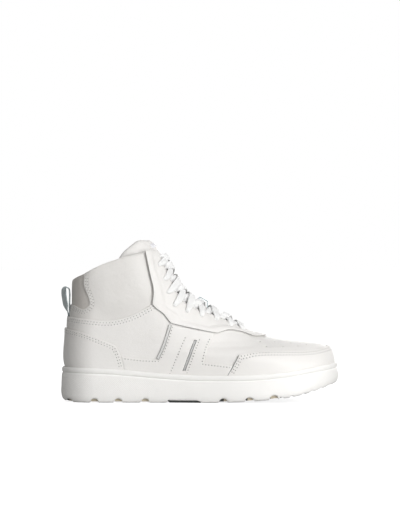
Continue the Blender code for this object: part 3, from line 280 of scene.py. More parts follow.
def spline(points, pitch=2.0):
    """A smooth curve through side-view points, sampled about every pitch millimetres."""
    points = np.array(points, float)
    gaps = np.linalg.norm(np.diff(points, axis=0), axis=1)
    place = np.concatenate([[0], np.cumsum(gaps)])
    tangent = np.gradient(points, place, axis=0) if len(points) > 2 else None
    found = []
    for i, gap in enumerate(gaps):
        u = np.linspace(0, 1, max(1, round(gap / pitch)) + 1)[:-1, None]
        if tangent is None:
            found.append(points[i] + (points[i + 1] - points[i]) * u)
            continue
        found.append(eased(points[i], points[i + 1], tangent[i], tangent[i + 1], gap, u))
    return np.concatenate(found + [points[-1:]])


def joined(*runs):
    """Curves end to end as one outline, without the doubled points."""
    found = [np.asarray(runs[0], float)]
    for run in runs[1:]:
        run = np.asarray(run, float)
        found.append(run[1:] if np.linalg.norm(run[0] - found[-1][-1]) < 0.05 else run)
    return np.concatenate(found)


def beside(line, distance):
    """A side-view line moved to its left by a distance."""
    line = np.asarray(line, float)
    step = np.gradient(line, axis=0)
    step /= np.linalg.norm(step, axis=1, keepdims=True)
    return line + np.stack([-step[:, 1], step[:, 0]], axis=-1) * distance


def hidden_height(s):
    """Height of the upper's lower edge, hidden in the sole's cup."""
    return board_top(s) - HIDDEN_DROP


def sole_edge(start, end):
    """The lower edge of the upper between two distances from the back."""
    s = np.linspace(start, end, max(2, round(abs(end - start) / CELL) + 1))
    return np.stack([s, hidden_height(s)], axis=-1)


def unchanged(line):
    return line


def mirrored(line):
    """A (theta, t) line on the other side of the shoe, mirrored at the heel."""
    return line * (-1, 1)


def mirrored_at_front(line):
    """A (theta, t) line mirrored at the middle of the toe and instep."""
    return np.stack([2 * math.pi - line[:, 0], line[:, 1]], axis=-1)


BOTH_SIDES = (("outer", unchanged), ("inner", mirrored))


def round_heel(outline):
    """A piece that wraps the heel, from its outer half's outline, which starts and ends at the middle."""
    return np.concatenate([outline, mirrored(outline)[::-1][1:-1]])


def round_front(outline):
    """A piece that wraps the toe or instep, from its outer half's outline."""
    return np.concatenate([outline, mirrored_at_front(outline)[::-1][1:-1]])


def hole(theta, t, radius, corners=12):
    """A round hole as an outline in (theta, t)."""
    around = (surface(theta + TINY, t) - surface(theta - TINY, t)) / (2 * TINY)
    upward = (surface(theta, t + TINY) - surface(theta, t - TINY)) / (2 * TINY)
    first = around / np.linalg.norm(around)
    second = upward - (upward @ first) * first
    second /= np.linalg.norm(second)
    angle = np.arange(corners) * 2 * math.pi / corners
    rise = radius * np.sin(angle) / (upward @ second)
    turn = (radius * np.cos(angle) - rise * (upward @ first)) / np.linalg.norm(around)
    return np.stack([theta + turn, t + rise], axis=-1)


def inside(points, loop):
    """Which points lie in the closed loop."""
    x, y = points[:, 0, None], points[:, 1, None]
    ax, ay = loop[:, 0], loop[:, 1]
    bx, by = np.roll(ax, -1), np.roll(ay, -1)
    spans = (ay > y) != (by > y)
    with np.errstate(divide="ignore", invalid="ignore"):
        crossing = ax + (y - ay) * (bx - ax) / (by - ay)
    return (spans & (x < crossing)).sum(axis=1) % 2 == 1


def distance_to(points, line, closed=True):
    """Distance from each point to a loop or an open line."""
    start = line if closed else line[:-1]
    edge = (np.roll(line, -1, axis=0) if closed else line[1:]) - start
    x, y = (points[:, axis, None] - start[:, axis] for axis in (0, 1))
    share = np.clip((x * edge[:, 0] + y * edge[:, 1]) / np.maximum((edge**2).sum(-1), 1e-12), 0, 1)
    return np.sqrt(((x - share * edge[:, 0]) ** 2 + (y - share * edge[:, 1]) ** 2).min(axis=1))


def stepped(line, pitch, closed=True):
    """A flat line with points added so that no side is longer than pitch."""
    ends = np.roll(line, -1, axis=0) if closed else line[1:]
    found = []
    for start, end in zip(line, ends):
        count = max(1, math.ceil(np.linalg.norm(end - start) / pitch))
        found.append(start + (end - start) * (np.arange(count) / count)[:, None])
    return np.concatenate(found if closed else found + [line[-1:]])


def shifted(line, distance, closed=True):
    """A flat line moved to its left by a distance."""
    if closed:
        step = np.roll(line, -1, axis=0) - np.roll(line, 1, axis=0)
    else:
        step = np.gradient(line, axis=0)
    step /= np.maximum(np.linalg.norm(step, axis=1, keepdims=True), 1e-9)
    return line + np.stack([-step[:, 1], step[:, 0]], axis=-1) * distance


# --- meshes -----------------------------------------------------------------------------------------------


def new_piece(name, points, faces, materials, body="shoe", uv=None, face_slots=None, sharp=50):
    """A piece from points in millimetres. uv gives each point's flat place on the material."""
    mesh = bpy.data.meshes.new(name)
    mesh.from_pydata(((np.asarray(points, float) - (MIDDLE, 0, 0)) * MM).tolist(), [], faces)
    for material in materials:
        mesh.materials.append(material)
    if face_slots is not None:
        mesh.polygons.foreach_set("material_index", np.asarray(face_slots, np.int32))
    if uv is not None:
        layer = mesh.uv_layers.new(name="flat_mm")
        index = np.empty(len(mesh.loops), np.int32)
        mesh.loops.foreach_get("vertex_index", index)
        layer.data.foreach_set("uv", np.asarray(uv, np.float32)[index].ravel())
    mesh.shade_smooth()
    mesh.set_sharp_from_angle(angle=math.radians(sharp))
    made = bpy.data.objects.new(name, mesh)
    bpy.context.scene.collection.objects.link(made)
    if body:
        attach(made, body)
    return made


def turned_inwards(loop):
    """The loop with its inside on its left."""
    x, y = loop[:, 0], loop[:, 1]
    area = (x * np.roll(y, -1) - np.roll(x, -1) * y).sum()
    return loop if area > 0 else loop[::-1]


def meshed(outline, holes, seams, cell, rims):
    """Flat points and triangles that fill an outline, with extra points along its rims and its seams."""
    loops = [turned_inwards(stepped(outline, RIM_PITCH))] + [turned_inwards(loop)[::-1] for loop in holes]
    extra = [(shifted(loop, rim), rim * RIM_MARGIN) for loop in loops for rim in rims]
    lines = [stepped(seam, RIM_PITCH, closed=False) for seam in seams]
    for line in lines:
        extra += [(shifted(line, side, closed=False), SEAM_MARGIN) for side in (-SEAM_WIDTH, 0, SEAM_WIDTH)]
    low, high = loops[0].min(axis=0), loops[0].max(axis=0)
    pitch = (cell, cell * LATTICE_ROWS)
    steps = [np.arange(math.floor(low[k] / pitch[k]) - 1, math.ceil(high[k] / pitch[k]) + 1) for k in (0, 1)]
    column, row = np.meshgrid(*steps, indexing="ij")
    lattice = np.stack([(column + (row % 2) / 2) * pitch[0], row * pitch[1]], axis=-1).reshape(-1, 2)
    lattice = lattice[inside(lattice, loops[0])]
    for line in lines:
        lattice = lattice[distance_to(lattice, line, closed=False) > SEAM_WIDTH + SEAM_MARGIN]
    chosen = []
    for points, margin in extra + [(lattice, max(rims) + LATTICE_MARGIN * cell)]:
        keep = inside(points, loops[0])
        for index, loop in enumerate(loops):
            if index:
                keep &= ~inside(points, loop)
            keep &= distance_to(points, loop) > margin
        chosen.append(points[keep])
    edges, start = [], 0
    for loop in loops:
        edges += [(start + i, start + (i + 1) % len(loop)) for i in range(len(loop))]
        start += len(loop)
    spots = [Vector(p) for p in np.concatenate(loops + chosen)]
    points, _, faces, _, _, _ = delaunay_2d_cdt(spots, edges, [], 0, 1e-4)
    points, faces = np.array([tuple(p) for p in points]), np.array(faces)
    middle = points[faces].mean(axis=1)
    wanted = inside(middle, loops[0])
    for loop in loops[1:]:
        wanted &= ~inside(middle, loop)
    faces = faces[wanted]
    a, b, c = (points[faces[:, k]] for k in range(3))
    turn = (b[:, 0] - a[:, 0]) * (c[:, 1] - a[:, 1]) - (b[:, 1] - a[:, 1]) * (c[:, 0] - a[:, 0])
    faces[turn < 0] = faces[turn < 0][:, ::-1]
    faces = faces[np.abs(turn) > 1e-6]
    rim = np.min([distance_to(points, loop) for loop in loops], axis=0)
    far = [np.full(len(points), SEAM_WIDTH)]
    seam = np.min([distance_to(points, line, closed=False) for line in lines] + far, axis=0)
    return points, faces, rim, seam


def edge_drop(distance, radius):
    """How far an edge rounded at this radius has dropped at a distance from it, as a share of the radius."""
    share = 1 - np.clip(distance / radius, 0, 1)
    return 1 - np.sqrt(1 - share**2)


def depth_of(depth, theta, t):
    """A depth at points, given as a number or as a function of theta and t."""
    return np.broadcast_to(depth(theta, t) if callable(depth) else depth, theta.shape)


def panel(
    name, outline, low, high, materials, slot, holes=(), seams=(), scale=LOW_SCALE, cell=CELL, rims=None,
    body="shoe",
):
    """A leather or textile piece: a solid between two depths under an outline, with rounded upper edges and
    a furrow along each seam. materials are those of its faces and of its cut edge."""
    flat = (scale, 1.0)
    rims = rims or (RIM_RADIUS * 0.3, RIM_RADIUS)
    places, faces, rim, seam = meshed(
        outline * flat, [loop * flat for loop in holes], [line * flat for line in seams], cell, rims
    )
    theta, t = places[:, 0] / scale, places[:, 1]
    points, out = surface(theta, t), normals(theta, t)
    drop = RIM_RADIUS * edge_drop(rim, RIM_RADIUS) + SEAM_DEPTH * np.clip(1 - seam / SEAM_WIDTH, 0, 1)
    under = points + out * depth_of(low, theta, t)[:, None]
    over = points + out * (depth_of(high, theta, t) - drop)[:, None]
    count = len(points)
    corners = [(int(a), int(b)) for face in faces for a, b in zip(face, np.roll(face, -1))]
    once = set(corners)
    walls = [(a, b, b + count, a + count) for a, b in corners if (b, a) not in once]
    solid = faces[:, ::-1].tolist() + (faces + count).tolist() + walls
    slots = [0] * (2 * len(faces)) + [len(materials) - 1] * len(walls)
    uv = np.concatenate([places, places])
    return new_piece(name, np.concatenate([under, over]), solid, materials, body, uv, slots)


def pair(name, outline, low, high, materials, slot, holes=(), seams=(), **more):
    """The same panel on the outer and the inner side, each standing for its CAD node."""
    for side, turn in BOTH_SIDES:
        made = panel(
            f"{name}_{side}_skin", turn(outline), low, high, materials, slot,
            [turn(loop) for loop in holes], [turn(line) for line in seams], **more,
        )
        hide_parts(f"{name}_{side}")


def on_surface(line, depth):
    """3-D points of a (theta, t) line at a depth, and the outward normals there."""
    line = np.asarray(line, float)
    out = normals(line[:, 0], line[:, 1])
    points = surface(line[:, 0], line[:, 1]) + out * depth_of(depth, line[:, 0], line[:, 1])[:, None]
    return points, out


def lengths_along(line):
    """Distance along a line from its start to each of its points."""
    gaps = np.linalg.norm(np.diff(line, axis=0), axis=1)
    return np.concatenate([[0], np.cumsum(gaps)])


def points_at(want, place, line):
    """Points of a 3-D line at wanted distances along it, place being the distances of its own points."""
    return np.stack([np.interp(want, place, line[:, k]) for k in range(3)], axis=-1)


def directions(line):
    """Unit vectors along a 3-D line."""
    step = np.gradient(line, axis=0)
    return step / np.linalg.norm(step, axis=1, keepdims=True)


def resampled(line, out, pitch):
    """Points of a 3-D line at even spacing, with the nearest of its normals."""
    place = lengths_along(line)
    path = points_at(np.linspace(0, place[-1], max(2, round(place[-1] / pitch) + 1)), place, line)
    nearest = np.linalg.norm(path[:, None] - line[None], axis=-1).argmin(axis=1)
    return path, out[nearest]


def swept(
    name, path, aside, half_width, half_thickness, material, body="shoe", corners=12, flatness=0.7
):
    """A flat band along a path. aside points roughly along its width, and its uv runs along it."""
    along = directions(path)
    across = aside - (aside * along).sum(axis=1, keepdims=True) * along
    across /= np.linalg.norm(across, axis=1, keepdims=True)
    up = np.cross(along, across)
    turn = (np.arange(corners) + 0.5) * 2 * math.pi / corners
    shape_x = np.sign(np.cos(turn)) * np.abs(np.cos(turn)) ** flatness
    shape_y = np.sign(np.sin(turn)) * np.abs(np.sin(turn)) ** flatness
    half_width = np.broadcast_to(half_width, len(path))
    half_thickness = np.broadcast_to(half_thickness, len(path))
    points = (
        path[:, None]
        + across[:, None] * (half_width[:, None] * shape_x)[..., None]
        + up[:, None] * (half_thickness[:, None] * shape_y)[..., None]
    ).reshape(-1, 3)
    uv = np.stack([np.repeat(lengths_along(path), corners), (half_width[:, None] * shape_x).ravel()], axis=-1)
    i, k = np.meshgrid(np.arange(len(path) - 1), np.arange(corners), indexing="ij")
    m = (k + 1) % corners
    here, ahead = i * corners, (i + 1) * corners
    quads = np.stack([here + k, here + m, ahead + m, ahead + k], axis=-1)
    last = (len(path) - 1) * corners
    faces = quads.reshape(-1, 4).tolist() + [list(range(corners))[::-1], [last + n for n in range(corners)]]
    return new_piece(name, points, faces, [material], body, uv, sharp=75)


def edge_line(name, line, depth, radius, look):
    """A thin dark line along an edge, on the outer side and its mirror image: partly the painted cut edge,
    partly painted shade of the gap beside it.
    """
    for side, turn in BOTH_SIDES:
        path, out = resampled(*on_surface(turn(line), depth), EDGE_LINE_PITCH)
        material = MATERIALS[look]
        swept(f"{name}_{side}", path, out, radius, radius, material, corners=6, flatness=1)


# --- stitching --------------------------------------------------------------------------------------------

stitch_rows = []


def sew(line, depth, both=True):
    """Notes a row of stitches along a (theta, t) line, and its mirror image."""
    stitch_rows.append((line, depth))
    if both:
        stitch_rows.append((mirrored(line), depth))


def build_stitches():
    """Every stitch as a short rounded thread between two needle holes, each hole a small pit coloured dark as
    painted shade.
    """
    n = STITCH_CORNERS
    turn = np.arange(n) * math.pi / (n / 2)
    length, wide = np.array(STITCH_SHAPE).T * ((STITCH_LENGTH / 2,), (STITCH_RADIUS,))
    shape = [(length[0], 0, 0)]
    for x, r in zip(length[1:3], wide[1:3]):
        shape += [(x, r * math.cos(a), r * math.sin(a)) for a in turn]
    shape = np.array(shape + [(length[3], 0, 0)])
    sides = [(k, (k + 1) % n) for k in range(n)]
    thread = [(0, 1 + b, 1 + a) for a, b in sides]
    thread += [(1 + a, 1 + b, 1 + n + b, 1 + n + a) for a, b in sides]
    thread += [(1 + 2 * n, 1 + n + a, 1 + n + b) for a, b in sides]
    # Each needle hole is a small pit coloured near-black as painted shade.
    long, broad, high = NEEDLE_HOLE
    rim = [(STITCH_PITCH / 2 + long * math.cos(a), broad * math.sin(a), -SEAM_DEPTH) for a in turn]
    pit = np.array([(STITCH_PITCH / 2, 0, high)] + rim)
    pit_faces = [(0, 1 + a, 1 + b) for a, b in sides] + [tuple(range(n, 0, -1))]
    template = np.concatenate([shape, pit])
    template_faces = thread + [tuple(len(shape) + corner for corner in face) for face in pit_faces]
    template_slots = [0] * len(thread) + [1] * len(pit_faces)
    points, faces, slots, count = [], [], [], 0
    for line, depth in stitch_rows:
        path, up = resampled(*on_surface(line, depth), STITCH_PITCH)
        along = directions(path)
        side = np.cross(up, along)
        made = (
            path[:, None]
            + along[:, None] * template[:, 0, None]
            + side[:, None] * template[:, 1, None]
            + up[:, None] * template[:, 2, None]
        )
        for stitch in made:
            points.append(stitch)
            faces += [tuple(count + corner for corner in face) for face in template_faces]
            slots += template_slots
            count += len(template)
    looks = (MATERIALS["thread"], MATERIALS["painted_hole_shade"])
    new_piece("stitching", np.concatenate(points), faces, looks, face_slots=slots, sharp=80)


# --- materials --------------------------------------------------------------------------------------------


MIX_COLOURS = (6, 7)  # which of a Mix node's inputs are its two colours, and which output is their mix
MIX_RESULT = 2


class Nodes:
    """A short way to write a node tree."""

    def __init__(self, name):
        self.material = bpy.data.materials.new(name)
        self.material.use_nodes = True
        self.tree = self.material.node_tree
        self.shader = self.tree.nodes["Principled BSDF"]

    def put(self, socket, value):
        if hasattr(value, "is_output"):
            self.tree.links.new(value, socket)
        elif value is not None:
            socket.default_value = value

    def add(self, kind, *inputs, out=0, **settings):
        made = self.tree.nodes.new("ShaderNode" + kind)
        for key, value in settings.items():
            setattr(made, key, value)
        for socket, value in zip(made.inputs, inputs):
            self.put(socket, value)
        return made.outputs[out]

    def math(self, operation, *inputs):
        return self.add("Math", *inputs, operation=operation)

    def place(self):
        """Places in millimetres."""
        metres = self.add("TexCoord", out="Object")
        return self.add("VectorMath", metres, (1 / MM, 1 / MM, 1 / MM), operation="MULTIPLY")

    def axes(self, place):
        """The x, y and z of a place."""
        made = self.tree.nodes.new("ShaderNodeSeparateXYZ")
        self.put(made.inputs[0], place)
        return made.outputs

    def waves(self, place, pitch):
        return self.math("SINE", self.math("MULTIPLY", place, 2 * math.pi / pitch))

    def noise(self, place, scale, detail=2.0, roughness=0.5):
        made = self.tree.nodes.new("ShaderNodeTexNoise")
        self.put(made.inputs["Vector"], place)
        made.inputs["Scale"].default_value = scale
        made.inputs["Detail"].default_value = detail
        made.inputs["Roughness"].default_value = roughness
        return made.outputs["Fac"]

    def blended(self, factor, first, second):
        made = self.tree.nodes.new("ShaderNodeMix")
        made.data_type = "RGBA"
        self.put(made.inputs["Factor"], factor)
        for index, value in zip(MIX_COLOURS, (first, second)):
            self.put(made.inputs[index], value)
        return made.outputs[MIX_RESULT]

    def bump(self, height, distance, below=None):
        made = self.tree.nodes.new("ShaderNodeBump")
        made.inputs["Distance"].default_value = distance * MM
        self.put(made.inputs["Height"], height)
        if below is not None:
            self.put(made.inputs["Normal"], below)
        return made.outputs["Normal"]

    def finish(self, **inputs):
        for name, value in inputs.items():
            self.put(self.shader.inputs[name.replace("_", " ")], value)
        return self.material


def colour(r, g, b):
    return (r, g, b, 1.0)


def leather(name, base, grain=1.0, roughness=0.46):
    """Pebbled leather: fine cells, soft creases, uneven tone, and painted shade that darkens its hollows."""
    n = Nodes(name)
    place = n.place()
    cells = n.add("TexVoronoi", place, None, 1.15 / grain, feature="DISTANCE_TO_EDGE")
    fine = n.noise(place, 2.6, 3.0)
    creases = n.noise(place, 0.09, 4.0, 0.6)
    tone = n.noise(place, 0.035, 2.0)
    height = n.math("ADD", n.math("MINIMUM", cells, 0.25), n.math("MULTIPLY", fine, 0.18))
    normal = n.bump(creases, 0.45)
    normal = n.bump(height, 0.22 * grain, normal)
    # Painted shade: the colour darkens where the surface is hollow (low pointiness), in creases and corners.
    crease_shade = n.math("MULTIPLY_ADD", n.add("NewGeometry", out="Pointiness"), -2.2, 1.6)
    factor = n.math("MULTIPLY_ADD", tone, 0.5, n.math("MULTIPLY", crease_shade, 0.35))
    darker = tuple(value * shade for value, shade in zip(base, (0.93, 0.92, 0.90)))
    tint = n.blended(n.math("MULTIPLY", factor, 0.8), colour(*base), colour(*darker))
    rough = n.math("MULTIPLY_ADD", fine, 0.16, roughness - 0.06)
    return n.finish(Base_Color=tint, Roughness=rough, Normal=normal, Specular_IOR_Level=0.42)


def rubber(name, base, speckle=0.03, roughness=0.55):
    """Moulded rubber: faint speckle and a slightly uneven skin."""
    n = Nodes(name)
    place = n.place()
    skin = n.noise(place, 1.4, 4.0, 0.6)
    dust = n.noise(place, 0.12, 3.0)
    darker = tuple(value * (1 - 2.2 * speckle) for value in base)
    tint = n.blended(n.math("MULTIPLY", n.math("ADD", skin, dust), 0.5), colour(*base), colour(*darker))
    rough = n.math("MULTIPLY_ADD", dust, 0.2, roughness - 0.1)
    return n.finish(Base_Color=tint, Roughness=rough, Normal=n.bump(skin, 0.12), Specular_IOR_Level=0.4)


def woven(name, base, pitch=0.9, depth=0.18, dark=0.8, slant=1.0, roughness=0.85):
    """Cloth woven along its own flat lengths: two crossing sets of threads."""
    n = Nodes(name)
    u, v, _ = n.axes(n.add("UVMap"))
    first = n.waves(n.math("MULTIPLY_ADD", v, slant, u), pitch)
    second = n.waves(n.math("MULTIPLY_ADD", v, -slant, u), pitch)
    threads = n.math("MULTIPLY_ADD", n.math("MULTIPLY", first, second), 0.5, 0.5)
    fuzz = n.noise(n.place(), 2.2, 3.0)
    darker = tuple(value * dark for value in base)
    factor = n.math("MULTIPLY_ADD", threads, 0.6, n.math("MULTIPLY", fuzz, 0.4))
    tint = n.blended(factor, colour(*darker), colour(*base))
    normal = n.bump(n.math("MULTIPLY_ADD", fuzz, 0.35, threads), depth)
    return n.finish(Base_Color=tint, Roughness=roughness, Normal=normal, Sheen_Weight=0.25)


def hatched(name, base, line, pitch=1.9):
    """A ribbed strip with slanting dark lines."""
    n = Nodes(name)
    x, _, z = n.axes(n.place())
    ribs = n.math("MULTIPLY_ADD", n.waves(n.math("ADD", x, z), pitch), 0.5, 0.5)
    tint = n.blended(ribs, colour(*line), colour(*base))
    return n.finish(Base_Color=tint, Roughness=0.8, Normal=n.bump(ribs, 0.3))


WHITE_LEATHER = (0.86, 0.846, 0.83)
MATERIALS = {
    "leather": leather("white_leather_grain", WHITE_LEATHER),
    # Collar leather: a softer grain, and a darker base that is painted shade of the flared collar.
    "soft_leather_painted_shade": leather("white_leather_soft_painted_shade", (0.79, 0.775, 0.755), 0.8, 0.5),
    # Heel tab: the same white leather, its base darkened as painted shade of the recessed tab at the shaded
    # heel.
    "tab_leather_painted_shade": leather("white_leather_heel_tab_painted_shade", (0.68, 0.65, 0.62), 0.8, 0.5),
    "cut_edge": leather("cut_edge", (0.62, 0.6, 0.57), 0.5, 0.7),
    # Dark and grey edge lines: painted edge colour together with painted shade of the gaps beside the edges.
    "dark_edge": leather("dark_edge", (0.16, 0.17, 0.17), 0.5, 0.6),
    "grey_edge": leather("grey_edge", (0.3, 0.3, 0.3), 0.5, 0.6),
    "rubber": rubber("sole_rubber_white", (0.93, 0.92, 0.9)),
    "tan_rubber": rubber("tread_rubber_tan", (0.55, 0.49, 0.38), 0.06, 0.7),
    # Near-black painted shade for the tread core in the arch recess and the notches.
    "painted_shade_rubber": rubber("tread_painted_shade", (0.06, 0.06, 0.06), 0.06, 0.7),
    "lace": woven("lace_weave", (0.97, 0.97, 0.965), 1.5, 0.2, 0.92),
    "webbing": woven("webbing_teal", (0.64, 0.73, 0.75), 1.6, 0.3, 0.75, 0.5),
    "lining": woven("lining_knit", (0.8, 0.79, 0.77), 1.2, 0.16, 0.88),
    "footbed": woven("footbed_cloth", (0.78, 0.775, 0.76), 1.5, 0.2, 0.85),
    "label": woven("label_satin", (0.84, 0.84, 0.87), 0.7, 0.08, 0.94, 0.3, 0.5),
    "thread": woven("thread", (0.9, 0.89, 0.87), 0.6, 0.1, 0.9),
    # Near-black painted shade for the needle holes and for the holes in the vamp.
    "painted_hole_shade": rubber("painted_hole_shade", (0.27, 0.26, 0.25), 0.05, 0.9),
    "slot_mesh": hatched("slot_mesh", (0.9, 0.9, 0.89), (0.55, 0.55, 0.55)),
    "band_mesh": hatched("band_mesh", (0.88, 0.88, 0.86), (0.66, 0.66, 0.65)),
    "foam": rubber("foam", (0.8, 0.79, 0.76), 0.08, 0.95),
    "board": rubber("fibre_board", (0.66, 0.6, 0.5), 0.1, 0.9),
    "tip": rubber("lace_tip", (0.82, 0.82, 0.8), 0.02, 0.3),
}
LEATHER_LOOK = (MATERIALS["leather"], MATERIALS["cut_edge"])
HIDDEN_NODES = {  # CAD nodes that stay and need a look of their own
    "midsole": "foam", "lasting_board": "board", "heel_counter": "board", "toe_puff": "board",
    "aglet_one": "tip", "aglet_two": "tip",
}

# --- the sole ---------------------------------------------------------------------------------------------

NOTCHES = (  # centre, half length, height, share of its length painted dark as shade
    (10, 4.2, 3.2, 0.5), (37.3, 4.6, 4.2, 0.0), (62.6, 4.6, 4.3, 0.0), (91.6, 4.6, 4.3, 0.1),
    (116.6, 1.6, 3.0, 1.0), (174.4, 4.8, 4.4, 0.5), (201.8, 4.8, 4.3, 0.4), (228, 4.8, 4.4, 0.2),
    (235.5, 2.0, 2.0, 1.0), (247.3, 1.8, 1.7, 1.0), (259.6, 2.0, 1.5, 1.0), (268.7, 2.6, 1.1, 1.0),
    (278.9, 2.6, 1.1, 1.0), (288, 2.2, 1.0, 1.0),
)
NOTCH_STATIONS = 8
NOTCH_GAP = 0.15  # from the ends of a notch to the stations outside it
ARCH = (116.6, 151.5, 2.5)  # from s, to s, height of the recess under the waist
ARCH_ENDS = (0.4, 4.5)  # lengths over which its roof comes down at each end
ARCH_STATIONS = (
    ARCH[0], ARCH[0] + ARCH_ENDS[0], ARCH[1] - ARCH_ENDS[1], ARCH[1] - 1.5, ARCH[1] - 0.4, ARCH[1],
)
HEEL_BEVEL = (11.0, 3.4)  # length and height
SOLE_STEPS = 150
CUP_INSIDE = 2.9  # distance of the cup's inner wall out from the upper, near its lip
CUP_DEPTH = 7.0  # how far down that part of the wall goes
CUP_FLOOR_OFFSET = 2.6  # its distance out further down
CUP_FLOOR_HEIGHT = 6.0  # height of the cup's floor above the sole's underside
BOARD_GAP = 2.4  # how far below the lasting board's top the wall is at that distance
CORE_HIDDEN = 4.6  # height of the core's underside above the tread's where it doesn't show
CORE_IN_NOTCH = 1.3
CORE_IN_ARCH = 0.25
CORE_TOP = 5.2
MIDDLE_STRIP = 20.0  # faces wider than this belong to the flat tread, not to the wall

# The cup's wall as (distance out from the upper, height above the tread), then with heights from the lip.
LOW_PROFILE = ((1.5, 0.0), (3.4, 0.25), (4.3, 0.9), (4.9, 2.0), (5.3, 3.6), (5.6, 5.6), (5.75, 7.8))
HIGH_PROFILE = (
    (4.85, -7.6), (4.72, -7.0), (4.4, -6.45), (3.95, -6.1), (3.8, -5.8), (3.95, -5.5), (4.4, -5.15),
    (4.7, -4.6), (4.82, -3.4), (4.8, -2.2), (4.66, -1.2), (4.3, -0.5), (3.8, -0.1), (3.3, 0.0), (2.9, -0.3),
)


def notch_height(s):
    """How far the tread is cut up at s, by rounded notches across it and the recess under the waist."""
    found = np.zeros_like(s)
    for centre, half, height, _ in NOTCHES:
        found = np.maximum(found, height * np.sqrt(np.clip(1 - ((s - centre) / half) ** 2, 0, 1)))
    rear, front = (s - ARCH[0]) / ARCH_ENDS[0], (ARCH[1] - s) / ARCH_ENDS[1]
    recess = ARCH[2] * np.clip(rear, 0, 1) * np.clip(front, 0, 1) ** 0.5
    return np.maximum(found, recess)


def tread_height(s):
    """Height of the tread's underside, with the bevel at the heel."""
    return sole_bottom(s) + HEEL_BEVEL[1] * np.clip(1 - s / HEEL_BEVEL[0], 0, 1) ** 1.6


def sole_angles():
    """theta of the sole's stations on the outer side, close together at the notches."""
    even = np.linspace(0, math.pi, SOLE_STEPS + 1)
    turns = [k * math.pi / NOTCH_STATIONS for k in range(NOTCH_STATIONS + 1)]
    places = list(ARCH_STATIONS)
    for centre, half, _, _ in NOTCHES:
        places += [centre + half * math.cos(turn) for turn in turns]
        places += [centre - half - NOTCH_GAP, centre + half + NOTCH_GAP]
    low, high = surface(0.0, SHEET_T[1])[0] - 4, surface(math.pi, SHEET_T[1])[0] + 4
    places = np.array([place for place in places if low < place < high])
    extra = np.arccos(1 - 2 * (places - low) / (high - low))
    found = np.sort(np.concatenate([even, extra]))
    return found[np.concatenate([[True], np.diff(found) > 0.0012])]


SOLE_HALF = sole_angles()
SOLE_THETA = np.concatenate([SOLE_HALF, 2 * math.pi - SOLE_HALF[-2:0:-1]])


class Rings:
    """Points round the shoe, at an offset out from where the surface meets a height curve."""

    def __init__(self, follow, theta):
        t = height_sheet(theta, follow)
        self.points = surface(theta, t)
        out = normals(theta, t) * (1, 1, 0)
        self.out = out / np.linalg.norm(out, axis=-1, keepdims=True)

    def at(self, offset, height):
        points = self.points + self.out * np.reshape(offset, (-1, 1))
        points[:, 2] = height(points[:, 0])
        return points


def ring_solid(name, rings, materials, body="shoe", slots_of=None):
    """A closed solid from rings that go round the shoe, bottom first, closed by strips across."""
    count = len(rings[0])
    half = count // 2
    faces = []
    for k in range(len(rings) - 1):
        low, high = k * count, (k + 1) * count
        faces += [(low + i, low + (i + 1) % count, high + (i + 1) % count, high + i) for i in range(count)]
    for base, turned in ((0, True), ((len(rings) - 1) * count, False)):
        for i in range(half):
            corners = [i, i + 1, count - i - 1, (count - i) % count]
            corners = [0, 1, count - 1] if i == 0 else [i, half, count - i] if i == half - 1 else corners
            face = [base + corner for corner in corners]
            faces.append(face[::-1] if turned else face)
    points = np.concatenate(rings)
    slots = slots_of(points, faces) if slots_of else None
    return new_piece(name, points, faces, materials, body, points[:, :2].copy(), slots, sharp=35)


def raised_by(k):
    """Height of the wall k above the tread: pushed up where a notch cuts into it."""
    return lambda s: tread_height(s) + np.maximum(k, notch_height(s) + 0.25 * k)


def from_lip(k):
    """Height of the wall k above the lip, or below it where k is negative."""
    return lambda s: sole_lip(s) + k


def under_board(s):
    """Height of the wall where the cup narrows under the lasting board."""
    return board_top(s) - BOARD_GAP


